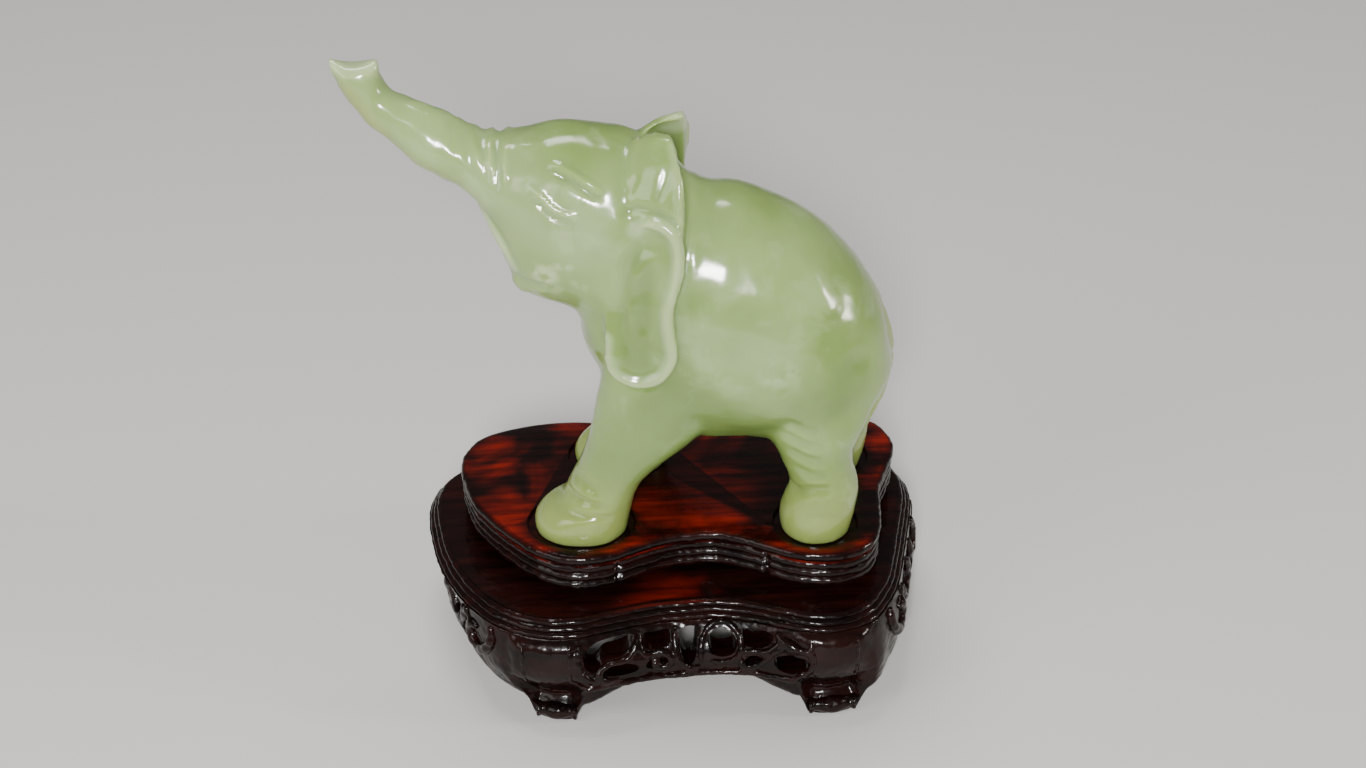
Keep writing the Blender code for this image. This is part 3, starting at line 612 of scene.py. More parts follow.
# The stand, in mm
MARGIN_HEAD_END, MARGIN_TAIL_END, MARGIN_NEAR_SIDE, MARGIN_FAR_SIDE = 16.0, 8.3, 3.8, 6.6
PLATE_HEIGHT = 8.8
RIM_RADIUS = 1.3
REED_DEPTH = 0.7
REED_SET_BACK = 0.3
PLATE_REEDS = 3
WAIST_INSET = 4.8
WAIST_HEIGHT = 2.2
LEDGE_HEAD_END, LEDGE_TAIL_END, LEDGE_FRONT, LEDGE_BACK = 8.2, 4.6, 8.8, 6.0
MOULDING_FLARE = 2.4
MOULDING_HEIGHT = 3.7
MOULDING_REEDS = 3
APRON_CLEARANCE = 9.8
APRON_SWELL = 4.6
HEAD_END_SWELL = -3.0
TAIL_END_SWELL = 0.4
APRON_WALL = 3.8
LEG_CENTRE_SHARE = 0.558
LEG_WIDTH = 11.8
LEG_DEPTH = 8.5
LEG_BULGE = 2.6
FOOT_NARROWING = (0.66, 0.82)
FOOT_SHIFT = (1.75, 0.15)
NARROWING_START = 13.0
NARROWING_LENGTH = 9.0
ANKLE_HEIGHT = 6.2
TOE_REACH = 1.2
BRACKET_LENGTH = 12.0
CEILING_THICKNESS = 4.4
OUTLINE_POINTS = 500
NEST_STEP = 0.5
NEST_STEPS = 20
SCROLL_VOXEL = 0.42
SOCKET_CLEARANCE = 1.4

PLATE_PLAN = (
    (0.00, -0.705), (0.12, -0.705), (0.24, -0.79), (0.35, -0.91), (0.45, -1.00), (0.55, -1.05),
    (0.65, -1.05), (0.75, -0.99), (0.82, -0.86), (0.86, -0.66), (0.88, -0.40), (0.90, -0.12),
    (0.955, 0.14), (1.00, 0.37), (1.00, 0.58), (0.93, 0.82), (0.71, 0.96), (0.50, 1.00),
    (0.25, 0.94), (0.00, 0.88), (-0.25, 0.94), (-0.50, 1.00), (-0.71, 0.96), (-0.90, 0.83),
    (-0.99, 0.61), (-1.01, 0.37), (-0.99, 0.14), (-0.955, -0.10), (-0.90, -0.30), (-0.81, -0.54),
    (-0.69, -0.79), (-0.57, -0.93), (-0.46, -0.96), (-0.34, -0.92), (-0.22, -0.82), (-0.10, -0.735),
)
TIER_PLAN = (
    (0.00, -0.825), (0.12, -0.82), (0.24, -0.86), (0.35, -0.93), (0.45, -0.99), (0.55, -1.02),
    (0.655, -0.99), (0.75, -0.90), (0.81, -0.76), (0.86, -0.60), (0.90, -0.38), (0.94, -0.12),
    (0.975, 0.11), (1.00, 0.32), (0.99, 0.55), (0.92, 0.77), (0.75, 0.93), (0.51, 1.00),
    (0.25, 0.97), (0.00, 0.94), (-0.25, 0.97), (-0.51, 1.00), (-0.75, 0.93), (-0.92, 0.77),
    (-0.99, 0.55), (-1.00, 0.32), (-0.985, 0.11), (-0.96, -0.12), (-0.91, -0.36), (-0.84, -0.58),
    (-0.745, -0.77), (-0.64, -0.89), (-0.53, -0.95), (-0.41, -0.95), (-0.28, -0.90), (-0.12, -0.84),
)
# Profile below the moulding: share of the way down, bulge and toe of a leg, swell of the apron
LEG_PROFILE = (
    (0.00, 0.0, 0.0, 0.0),
    (0.08, 0.7, 0.0, 0.2),
    (0.30, 1.0, 0.0, 0.6),
    (0.50, 0.6, 0.0, 0.9),
    (0.66, -0.2, 0.0, 1.0),
    (0.76, -0.4, 0.0, 1.0),
    (0.86, 0.0, 0.8, 1.0),
    (0.94, 0.0, 1.0, 1.0),
    (1.00, 0.0, 0.8, 0.9),
)
LEG_EDGE = 0.8
ANKLE_BEAD_LEVEL, ANKLE_BEAD_RADIUS = 6.3, 0.75
TOE_LEVEL, TOE_RADIUS, TOE_SWELL = 2.3, 1.7, 0.35
CURL_STEPS, CURL_TURN, CURL_REACH, CURL_TIGHTENING, CURL_RADIUS = 13, 32, 1.75, 0.10, 0.55
# The bead down each edge of a leg: level and half thickness
EDGE_BEAD = ((20.4, 0.5), (18.4, 0.62), (16.0, 0.68), (13.5, 0.66), (11.0, 0.62), (8.8, 0.55), (7.4, 0.4))
# Pierced openings of the front apron: points (x, z) round each
FRONT_OPENINGS = (
    ((-15.6, 18.6), (-12.0, 20.3), (-5.2, 20.4), (-5.9, 18.4), (-7.8, 16.9), (-11.2, 16.5), (-13.4, 14.6),
     (-15.4, 15.6)),
    ((-12.0, 13.7), (-9.4, 12.9), (-5.0, 13.0), (-4.2, 14.3), (-6.6, 15.3), (-10.2, 15.2)),
    ((-2.6, 20.2), (2.6, 20.3), (3.1, 18.6), (1.6, 17.3), (-1.8, 17.2), (-3.2, 18.5)),
    ((-2.4, 13.4), (0.6, 12.7), (3.2, 13.2), (3.3, 14.8), (0.6, 15.4), (-2.0, 15.0)),
    ((4.8, 20.2), (8.6, 20.2), (8.2, 17.6), (7.8, 14.4), (6.4, 13.0), (5.2, 15.0), (4.7, 18.0)),
    ((10.5, 17.3), (11.4, 19.3), (13.6, 20.0), (15.8, 19.3), (16.7, 17.3), (15.8, 15.3), (13.6, 14.6),
     (11.4, 15.3)),
    ((17.8, 20.1), (23.4, 20.2), (24.0, 18.7), (22.2, 17.1), (18.8, 16.9), (17.6, 18.4)),
    ((18.4, 14.4), (21.0, 15.2), (22.6, 13.9), (20.6, 12.8), (18.8, 13.0)),
    ((24.4, 15.2), (28.0, 16.5), (31.2, 15.8), (31.4, 13.6), (28.6, 12.6), (25.4, 12.8)),
)
# Scrolls carved over the front apron: points (x, z) along each, and half thickness
FRONT_SCROLLS = (
    (((-3.8, 20.6), (-4.6, 18.4), (-6.8, 16.2), (-10.4, 15.8), (-12.8, 14.2), (-11.4, 12.3),
      (-8.0, 12.0)), 0.85),
    (((-16.6, 20.4), (-17.0, 17.0), (-15.6, 13.8), (-12.6, 12.0)), 0.80),
    (((-3.8, 20.4), (-3.8, 17.6), (-2.2, 16.2), (0.6, 16.5), (2.6, 15.2), (2.0, 13.4), (-0.2, 13.2),
      (-0.8, 14.4), (0.4, 14.9)), 0.85),
    (((3.8, 20.7), (3.7, 17.8), (4.5, 14.4), (6.6, 12.2), (9.2, 12.6)), 0.80),
    (((9.3, 13.4), (9.0, 16.4), (10.0, 19.2), (12.2, 20.8), (15.0, 20.8), (17.0, 19.2), (17.6, 16.6),
      (16.2, 14.2), (13.6, 13.3), (11.0, 13.8)), 0.80),
    (((17.2, 15.4), (20.0, 16.1), (22.8, 16.2), (25.2, 18.2), (26.0, 20.6)), 0.80),
    (((26.6, 17.8), (23.8, 16.0), (21.6, 13.6), (19.4, 12.2), (17.6, 12.9), (18.2, 14.2)), 0.85),
    (((24.8, 20.2), (27.4, 18.4), (31.6, 17.7)), 1.25),
    (((32.2, 18.6), (32.4, 15.0), (30.6, 12.0), (26.6, 11.6)), 0.80),
)
LOWER_RAIL = (((-19.0, 11.2), (-14.0, 10.9), (-6.0, 10.7), (6.0, 10.6), (18.0, 10.7), (27.0, 10.9),
               (33.0, 11.2)), 0.75)
# The same for an end apron: points (y, z) round and along
SIDE_OPENINGS = (
    ((-15.0, 19.4), (-9.6, 19.6), (-9.0, 17.4), (-11.6, 14.6), (-15.2, 15.4)),
    ((-7.4, 19.4), (-3.2, 19.8), (-2.6, 16.6), (-4.6, 14.2), (-7.6, 15.6)),
    ((-1.2, 18.8), (2.2, 19.8), (4.8, 18.0), (4.2, 15.4), (1.4, 14.2), (-1.0, 15.6)),
    ((6.4, 19.6), (10.6, 19.4), (11.0, 16.4), (8.6, 14.2), (6.6, 15.6)),
    ((12.4, 18.8), (16.2, 18.8), (16.4, 15.6), (13.4, 14.4)),
)
SIDE_SCROLLS = (
    (((-26.0, 20.6), (-26.6, 17.0), (-24.6, 13.4), (-21.4, 12.6), (-19.4, 14.6), (-20.2, 17.2),
      (-22.4, 17.6)), 1.35),
    (((-19.0, 20.6), (-18.6, 18.0)), 1.30),
    (((-17.4, 20.0), (-16.6, 16.8), (-14.0, 13.4), (-10.4, 13.0), (-8.2, 15.4), (-8.6, 18.8),
      (-10.2, 20.4)), 1.15),
    (((-8.2, 20.2), (-8.4, 16.4), (-6.4, 13.2), (-3.4, 12.6), (-1.8, 14.6), (-3.0, 16.2)), 1.05),
    (((-2.2, 20.4), (-1.6, 16.6), (0.6, 13.4), (3.8, 12.8), (5.6, 15.0), (5.4, 18.4), (3.2, 20.6)), 1.15),
    (((5.8, 20.4), (5.6, 16.4), (7.4, 13.2), (10.0, 12.9), (11.8, 14.8), (11.6, 18.0)), 1.05),
    (((11.8, 20.2), (12.0, 16.6), (14.0, 13.4), (17.0, 13.6), (18.4, 17.0)), 1.10),
)
SIDE_RAIL = (((-19.0, 11.6), (-8.0, 11.2), (2.0, 11.2), (10.0, 11.2), (19.0, 11.6)), 0.90)
# Score lines across the plate's reeds: x of each, half width and depth
SCORE_LINES = (-7.6, 23.6)
SCORE_HALF_WIDTH, SCORE_DEPTH = 0.75, 0.6
# Knife marks on the wood, as size and depth
KNIFE_MARKS = ((1.3, 0.16), (4.5, 0.12))
INSIDE_BOX = 0.02
SAME_SPOT = 0.0001
WIDE_FACE = 60
# The painted patch of light in the bay of the ledge, the rest of the ledge painted in shade: x of its
# middle, full up to, gone at
BAY_MIDDLE, BAY_NEAR, BAY_FAR = 4.0, 5.0, 16.0


def footprints():
    prints = []
    for leg in LEGS:
        front_x, _, rear_x, _, middle_y, half_width = leg[FOOT_SECTION]
        prints.append(((front_x + rear_x) / 2, middle_y, (rear_x - front_x) / 2, half_width))
    return prints


def stand_layout():
    prints = footprints()
    left = min(x - half for x, _, half, _ in prints) - MARGIN_HEAD_END
    right = max(x + half for x, _, half, _ in prints) + MARGIN_TAIL_END
    near = min(y - half for _, y, _, half in prints) - MARGIN_NEAR_SIDE
    far = max(y + half for _, y, _, half in prints) + MARGIN_FAR_SIDE
    middle = Vector(((left + right) / 2, (near + far) / 2)) + PLATE_SPOT
    tier_middle = middle + Vector((LEDGE_TAIL_END - LEDGE_HEAD_END, LEDGE_BACK - LEDGE_FRONT)) / 2
    plate_half = Vector(((right - left) / 2, (far - near) / 2))
    tier_half = plate_half + Vector((LEDGE_HEAD_END + LEDGE_TAIL_END, LEDGE_BACK + LEDGE_FRONT)) / 2
    return middle, plate_half, tier_middle, tier_half


def outline(shares, middle, half):
    curve = smooth_rows(shares, 40, closed=True)
    return [Vector((middle.x + x * half.x, middle.y + y * half.y)) for x, y in curve]


def wobble(point, size, depth):
    """A little of the unevenness that a knife leaves."""
    return depth * noise.noise(Vector(point) / size)


def even_picks(curve, count):
    reach = [0.0]
    for index, point in enumerate(curve):
        reach.append(reach[-1] + (curve[(index + 1) % len(curve)] - point).length)
    kept = []
    index = 0
    for step in range(count):
        while reach[index] < reach[-1] * step / count:
            index += 1
        kept.append(index % len(curve))
    return kept


def outward(line):
    count = len(line)
    spans = [line[(index + 1) % count] - line[index - 1] for index in range(count)]
    return [Vector((span.y, -span.x)).normalized() for span in spans]


def nested(line):
    """Outlines inside and outside a given one, one for each step of distance, that never fold."""
    nest = {0: line}
    for sign in (-1, 1):
        current = line
        for step in range(1, NEST_STEPS + 1):
            current = [point + way * sign * NEST_STEP for point, way in zip(current, outward(current))]
            current = [point * 0.5 + (current[index - 1] + current[(index + 1) % len(current)]) * 0.25
                       for index, point in enumerate(current)]
            nest[sign * step] = current
    return nest


def offset(nest, distances):
    """The outline with each point moved outwards by its own distance."""
    moved = []
    for index, distance in enumerate(distances):
        low = math.floor(distance / NEST_STEP)
        share = distance / NEST_STEP - low
        moved.append(nest[low][index].lerp(nest[low + 1][index], share))
    return moved


def bead(top, foot, crest, groove, steps=5):
    """Levels and distances of one rounded reed from its top to its foot."""
    rows = []
    for step in range(steps + 1):
        share = step / steps
        swell = math.sqrt(max(0.0, 1 - (2 * share - 1) ** 2))
        rows.append((groove + (crest - groove) * swell, top + (foot - top) * share))
    return rows


def stand_profile():
    """Rings above the apron: which plan they follow, distance from it and level."""
    rings = [("plate", -6.0, STAND_TOP)]
    for step in range(7):
        angle = math.pi * step / 6
        rings.append(("plate", -RIM_RADIUS + RIM_RADIUS * math.sin(angle),
                      STAND_TOP - RIM_RADIUS + RIM_RADIUS * math.cos(angle)))
    top = STAND_TOP - 2 * RIM_RADIUS
    foot = STAND_TOP - PLATE_HEIGHT
    for reed in range(PLATE_REEDS):
        high = top + (foot - top) * reed / PLATE_REEDS
        low = top + (foot - top) * (reed + 1) / PLATE_REEDS
        rings += [("plate", distance, level) for distance, level
                  in bead(high, low, -REED_SET_BACK, -REED_SET_BACK - REED_DEPTH)]
    waist_foot = foot - WAIST_HEIGHT
    rings += [("plate", -WAIST_INSET + 0.5, foot - 0.15), ("plate", -WAIST_INSET, foot - 0.8),
              ("plate", -WAIST_INSET, waist_foot)]
    rings.append(("tier", -MOULDING_FLARE - RIM_RADIUS, waist_foot))
    ledge_foot = waist_foot - 0.38
    rings.append(("tier", -MOULDING_FLARE - 0.5, waist_foot - 0.05))
    moulding_foot = waist_foot - MOULDING_HEIGHT
    for reed in range(MOULDING_REEDS):
        share, after = reed / MOULDING_REEDS, (reed + 1) / MOULDING_REEDS
        high = ledge_foot + (moulding_foot - ledge_foot) * share
        low = ledge_foot + (moulding_foot - ledge_foot) * after
        for step, (distance, level) in enumerate(bead(high, low, 0.0, -REED_DEPTH)):
            inset = MOULDING_FLARE * (1 - (share + (after - share) * step / 5))
            rings.append(("tier", distance - inset, level))
    rings = [row for index, row in enumerate(rings) if index == 0 or row != rings[index - 1]]
    return rings, waist_foot, moulding_foot


def skinned(rings):
    """A closed skin drawn from each ring of points to the next."""
    bm = bmesh.new()
    bmesh.ops.create_circle(bm, cap_ends=True, segments=len(rings[0]), radius=1.0)
    bm.verts.ensure_lookup_table()
    line, rim = bm.verts[:], bm.edges[:]
    for vert, point in zip(line, rings[0]):
        vert.co = point
    for row in rings[1:]:
        grown = bmesh.ops.extrude_edge_only(bm, edges=rim)["geom"]
        fresh = {item for item in grown if isinstance(item, bmesh.types.BMVert)}
        rim = [item for item in grown if isinstance(item, bmesh.types.BMEdge)
               and item.verts[0] in fresh and item.verts[1] in fresh]
        line = [next(edge.other_vert(vert) for edge in vert.link_edges if edge.other_vert(vert) in fresh)
                for vert in line]
        for vert, point in zip(line, row):
            vert.co = point
    bmesh.ops.edgeloop_fill(bm, edges=rim)
    bmesh.ops.recalc_face_normals(bm, faces=bm.faces[:])
    if bm.calc_volume(signed=True) < 0:
        bmesh.ops.reverse_faces(bm, faces=bm.faces[:])
    return bm


def foot_shift(x, level, leg_x):
    """How far a point moves sideways, so that a leg narrows to its foot: head end first."""
    end = 0 if x < leg_x[0] else 1
    across = x - leg_x[0] - (2 * end - 1) * leg_x[1]
    held = max(-LEG_WIDTH / 2, min(LEG_WIDTH / 2, across))
    moved = held * (FOOT_NARROWING[end] - 1) + FOOT_SHIFT[end]
    moved *= 1 - smooth_step(abs(across - held) / NARROWING_LENGTH)
    return moved * smooth_step((NARROWING_START - level) / NARROWING_LENGTH)


def make_stand_body():
    middle, plate_half, tier_middle, tier_half = stand_layout()
    leg_x = ((middle.x + tier_middle.x) / 2, tier_half.x * LEG_CENTRE_SHARE)
    fine_tier = outline(TIER_PLAN, tier_middle, tier_half)
    fine_plate = outline(PLATE_PLAN, middle, plate_half)
    kept = even_picks(fine_tier, OUTLINE_POINTS)
    plans = {"plate": [fine_plate[index] for index in kept], "tier": [fine_tier[index] for index in kept]}
    tier = plans["tier"]
    nests = {name: nested(line) for name, line in plans.items()}
    profile, waist_foot, moulding_foot = stand_profile()
    rings = []
    for plan, distance, level in profile:
        rings.append([(p.x, p.y, level) for p in offset(nests[plan], [distance] * OUTLINE_POINTS)])
    beyond = [abs(abs(point.x - leg_x[0]) - leg_x[1]) - LEG_WIDTH / 2 for point in tier]
    swells = []
    for way in outward(tier):
        end = HEAD_END_SWELL if way.x < 0 else TAIL_END_SWELL
        swells.append(end + (APRON_SWELL - end) * way.y ** 2)
    on_leg = [1 - smooth_step((gap + 1.0) / 3.0) for gap in beyond]
    rows = smooth_rows(LEG_PROFILE, 5)
    face = []
    for share, bulge, toe, swell in rows:
        distances, levels = [], []
        for gap, full, leg in zip(beyond, swells, on_leg):
            bracket = smooth_step(gap / BRACKET_LENGTH)
            foot = ANKLE_HEIGHT + (APRON_CLEARANCE - ANKLE_HEIGHT) * bracket
            foot *= smooth_step((gap + 0.4) / 1.8)
            levels.append(moulding_foot + (foot - moulding_foot) * share)
            distances.append((LEG_BULGE * bulge + TOE_REACH * toe) * leg + full * swell * (1 - leg))
        moved = offset(nests["tier"], distances)
        rings.append([(p.x + foot_shift(at.x, level, leg_x), p.y, level)
                      for p, at, level in zip(moved, tier, levels)])
        face.append(rings[-1])
    inner_foot = offset(nests["tier"], [-LEG_DEPTH * leg + (full * swell - APRON_WALL) * (1 - leg)
                               for full, leg in zip(swells, on_leg)])
    rings.append([(p.x + foot_shift(at.x, level, leg_x), p.y, level)
                  for p, at, level in zip(inner_foot, tier, levels)])
    inner_top = offset(nests["tier"], [-LEG_DEPTH * leg - APRON_WALL * (1 - leg) for leg in on_leg])
    rings.append([(p.x, p.y, waist_foot - CEILING_THICKNESS) for p in inner_top])
    return skinned(rings), np.array(face)


def add_cutter(stand, name, bm):
    cutter = add_object(name, mesh_of(bm, name))
    cut = stand.modifiers.new(name, "BOOLEAN")
    cut.operation = "DIFFERENCE"
    cut.solver = "EXACT"
    cut.object = cutter
    return cutter


def socket_cutters():
    bm = bmesh.new()
    turn = Matrix.Translation((PLATE_SPOT.x, PLATE_SPOT.y, 0)) @ Matrix.Rotation(FIGURE_TURN, 4, "Z")
    for x, y, half_length, half_width in footprints():
        size = Matrix.Diagonal((half_length + SOCKET_CLEARANCE, half_width + SOCKET_CLEARANCE, 1, 1))
        place = turn @ Matrix.Translation((x, y, STAND_TOP)) @ size
        bmesh.ops.create_cone(bm, cap_ends=True, segments=56, radius1=0.97, radius2=1.03,
                              depth=2 * SOCKET_DEPTH, matrix=place)
    return bm


class Apron:
    """The outer face of the apron, to find where a drawn point lies on it."""

    def __init__(self, face):
        self.sides = {}
        middle = (face[0].max(0) + face[0].min(0)) / 2
        top = face[0]
        sides = (("front", 0, 1, -1), ("back", 0, 1, 1), ("head", 1, 0, -1), ("tail", 1, 0, 1))
        for name, along, across, sign in sides:
            limit = 0.45 * (top[:, across].max() - middle[across])
            kept = np.where((top[:, across] - middle[across]) * sign > limit)[0]
            order = kept[np.argsort(top[kept, along])]
            self.sides[name] = (along, across, face[:, order])

    def spot(self, side, reach, level):
        along, across, rows = self.sides[side]
        depths = [np.interp(reach, row[:, along], row[:, across]) for row in rows]
        levels = [np.interp(reach, row[:, along], row[:, 2]) for row in rows]
        depth = np.interp(-level, [-value for value in levels], depths)
        point = [0.0, 0.0, level]
        point[along], point[across] = reach, depth
        return Vector(point)


def mirrored(points, middle):
    return [(2 * middle - x, z) for x, z in points]


def opening_cutter(bm, apron, side, points):
    """A prism with a rounded outline, right through the apron."""
    along, across, _ = apron.sides[side]
    shape = smooth_rows(points, 4, closed=True)
    reach = sum(x for x, _ in shape) / len(shape)
    level = sum(z for _, z in shape) / len(shape)
    middle = apron.spot(side, reach, level)
    made = bmesh.ops.create_circle(bm, cap_ends=True, segments=len(shape), radius=1.0)["verts"]
    for vert, (x, z) in zip(made, shape):
        point = [0.0, 0.0, z]
        point[along], point[across] = x, middle[across] - 7.0
        vert.co = point
    lid = made[0].link_faces[:]
    grown = bmesh.ops.extrude_face_region(bm, geom=lid)["geom"]
    way = [0.0, 0.0, 0.0]
    way[across] = 14.0
    bmesh.ops.translate(bm, vec=way, verts=[item for item in grown if isinstance(item, bmesh.types.BMVert)])


def carved_lists(middle_x):
    """Openings and scrolls of all four sides: the back is the front turned about."""
    openings = [("front", points) for points in FRONT_OPENINGS]
    openings += [("back", mirrored(points, middle_x)) for points in FRONT_OPENINGS]
    openings += [(side, points) for side in ("head", "tail") for points in SIDE_OPENINGS]
    long_side, end = FRONT_SCROLLS + (LOWER_RAIL,), SIDE_SCROLLS + (SIDE_RAIL,)
    scrolls = [("front", points, radius) for points, radius in long_side]
    scrolls += [("back", mirrored(points, middle_x), radius) for points, radius in long_side]
    scrolls += [(side, points, radius) for side in ("head", "tail") for points, radius in end]
    return openings, scrolls


def scroll(apron, side, points, radius):
    line = [apron.spot(side, reach, level) for reach, level in smooth_rows(points, 6)]
    radii = [radius * (0.55 + 0.45 * smooth_step(min(index, len(line) - 1 - index) / 6))
             * (1 + wobble(line[index], 1.6, 0.22)) for index in range(len(line))]
    return tube(line, radii, sides=12)


def leg_face(face, sign):
    """A function that finds the spot of a leg's outer face, front or back, for an x and a level."""
    middle_y = (face[0][:, 1].max() + face[0][:, 1].min()) / 2
    sides = [row[(row[:, 1] - middle_y) * sign > 0] for row in face]

    def spot(x, level):
        nearest = [side[np.argmin(abs(side[:, 0] - x))] for side in sides]
        depths = sorted((point[2], point[1]) for point in nearest)
        return Vector((x, np.interp(level, [z for z, _ in depths], [y for _, y in depths]), level))

    return spot


def toe_curl(corner, edge, sign):
    """The curled end of a rolled toe: points of a spiral in a plane across the stand."""
    curl = []
    for step in range(CURL_STEPS):
        angle = math.radians(CURL_TURN * step - 90)
        reach = CURL_REACH - CURL_TIGHTENING * step
        curl.append(corner + Vector((edge * 0.5, sign * (0.3 + math.cos(angle) * reach),
                                     0.1 + math.sin(angle) * reach)))
    return curl


def leg_carving(face, leg_x):
    """On each leg: a bead at the ankle, a rolled toe with curled ends, and beads down both edges."""
    parts = []
    half = LEG_WIDTH / 2 - LEG_EDGE
    for end in (-1, 1):
        for sign in (-1, 1):
            spot = leg_face(face, sign)

            def placed(x, level):
                return spot(x + foot_shift(x, level, leg_x), level)

            centre = leg_x[0] + end * leg_x[1]
            across = [centre + half * (step / 5 - 1) for step in range(11)]
            inset = Vector((0.0, -sign * 0.5, 0.0))
            bead_line = [placed(x, ANKLE_BEAD_LEVEL) + inset for x in across]
            parts.append(tube(bead_line, [ANKLE_BEAD_RADIUS] * 11, sides=12))
            toe = [placed(x, TOE_LEVEL) + inset for x in across]
            swell = [TOE_RADIUS + TOE_SWELL * math.cos(math.pi * (step / 5 - 1)) for step in range(11)]
            parts.append(tube(toe, swell, sides=14))
            for edge, corner in ((-1, toe[0]), (1, toe[-1])):
                parts.append(tube(toe_curl(corner, edge, sign), [CURL_RADIUS] * CURL_STEPS, sides=10))
                line = [placed(centre + edge * (half - 0.2), level) + inset * 0.4 for level, _ in EDGE_BEAD]
                parts.append(tube(line, [radius for _, radius in EDGE_BEAD], sides=10))
    return parts


def make_stand():
    bm, face = make_stand_body()
    middle, _, tier_middle, tier_half = stand_layout()
    leg_x = ((middle.x + tier_middle.x) / 2, tier_half.x * LEG_CENTRE_SHARE)
    apron = Apron(face)
    openings, scrolls = carved_lists(leg_x[0])
    stand = add_object("stand_blank", mesh_of(bm, "stand_blank"))
    holes = bmesh.new()
    for side, points in openings:
        opening_cutter(holes, apron, side, points)
    bmesh.ops.recalc_face_normals(holes, faces=holes.faces[:])
    helpers = [add_cutter(stand, "sockets", socket_cutters()), add_cutter(stand, "fretwork", holes)]
    parts = [scroll(apron, *values) for values in scrolls] + leg_carving(face, leg_x)
    carving = add_object("carving", melted("carving", parts, SCROLL_VOXEL, 2))
    add = stand.modifiers.new("carving", "BOOLEAN")
    add.operation = "UNION"
    add.solver = "EXACT"
    add.object = carving
    helpers.append(carving)
    data = baked(stand)
    for helper in helpers:
        bpy.data.objects.remove(helper, do_unlink=True)
    finish_stand(data)
    bm = bmesh.new()
    bm.from_mesh(data)
    bpy.data.meshes.remove(data)
    bmesh.ops.remove_doubles(bm, verts=bm.verts[:], dist=SAME_SPOT)
    bmesh.ops.triangulate(bm, faces=[face for face in bm.faces if len(face.verts) < WIDE_FACE])
    without_crumbs(bm)
    bmesh.ops.scale(bm, vec=(MM, MM, MM), verts=bm.verts[:])
    for face in bm.faces:
        face.smooth = True
    for edge in bm.edges:
        edge.smooth = edge.calc_face_angle(0.0) < math.radians(42)
    return add_object("carved_stand", mesh_of(bm, "carved_stand"))


def finish_stand(data):
    """Knife marks, score lines across the plate's reeds, and the zones of red grain, with the ledge painted
    dark in shade except for a lit patch in its bay.
    """
    skin = Skin(data)
    co, normal = skin.co, skin.normal
    plate_foot = STAND_TOP - PLATE_HEIGHT
    upright = np.abs(normal[:, 2]) < 0.8
    marks = np.array([sum(wobble(point, size, depth) for size, depth in KNIFE_MARKS) for point in co])
    edge = upright & (co[:, 2] > 2.0) & ((co[:, 2] < plate_foot - WAIST_HEIGHT) | (co[:, 2] > plate_foot))
    edge &= co[:, 2] < STAND_TOP - 0.3
    co += normal * np.where(edge, marks, 0.0)[:, None]
    for x in SCORE_LINES:
        across = fade(np.abs(co[:, 0] - x), 0.15, SCORE_HALF_WIDTH)
        band = upright & (co[:, 2] > plate_foot) & (co[:, 2] < STAND_TOP - 2 * RIM_RADIUS) & (co[:, 1] < 0)
        co -= normal * np.where(band, SCORE_DEPTH * across, 0.0)[:, None]
    low, high = np.array(cad_box[0]) / MM + INSIDE_BOX, np.array(cad_box[1]) / MM - INSIDE_BOX
    np.clip(co, low, high, out=co)
    flat = fade(-normal[:, 2], -0.97, -0.80) * (co[:, 2] > plate_foot - WAIST_HEIGHT - 1.0)
    # On the ledge under the plate the red is painted down into shade, except for a lit patch in its bay.
    bay = 0.04 + 0.50 * fade(np.abs(co[:, 0] - BAY_MIDDLE), BAY_NEAR, BAY_FAR) * (co[:, 1] < 0)
    flat *= np.where(co[:, 2] < plate_foot, bay, 1.0)
    skin.store()
    layer = data.attributes.new("red_top_and_ledge_shade", "FLOAT", "POINT")
    layer.data.foreach_set("value", flat)


# Materials
def new_material(name):
    made = bpy.data.materials.new(name)
    made.use_nodes = True
    tree = made.node_tree
    return made, tree, tree.nodes["Principled BSDF"]


def node(tree, kind, **values):
    made = tree.nodes.new(kind)
    for key, value in values.items():
        if key in made.inputs:
            made.inputs[key].default_value = value
        else:
            setattr(made, key, value)
    return made


def blend(tree, factor, first, second, kind="MIX"):
    """A colour mix whose factor and inputs are sockets or plain values."""
    mix = tree.nodes.new("ShaderNodeMix")
    mix.data_type = "RGBA"
    mix.blend_type = kind
    for socket, value in ((mix.inputs[0], factor), (mix.inputs[6], first), (mix.inputs[7], second)):
        if isinstance(value, bpy.types.NodeSocket):
            tree.links.new(value, socket)
        else:
            socket.default_value = value
    return mix.outputs[2]


def spread(tree, value, low, high, out_low=0.0, out_high=1.0):
    """A value carried from one range to another, with eased ends."""
    made = tree.nodes.new("ShaderNodeMapRange")
    made.interpolation_type = "SMOOTHSTEP"
    for socket, number in zip(made.inputs, (value, low, high, out_low, out_high)):
        if isinstance(number, bpy.types.NodeSocket):
            tree.links.new(number, socket)
        else:
            socket.default_value = number
    return made.outputs["Result"]


def new_group(name, inputs, output, kind):
    """An effect for more than one material: its node group, with the sockets inside it."""
    tree = bpy.data.node_groups.new(name, "ShaderNodeTree")
    for label, socket, value in inputs:
        made = tree.interface.new_socket(name=label, in_out="INPUT", socket_type=socket)
        if value is not None:
            made.default_value = value
    tree.interface.new_socket(name=output, in_out="OUTPUT", socket_type=kind)
    return tree, tree.nodes.new("NodeGroupInput").outputs, tree.nodes.new("NodeGroupOutput").inputs


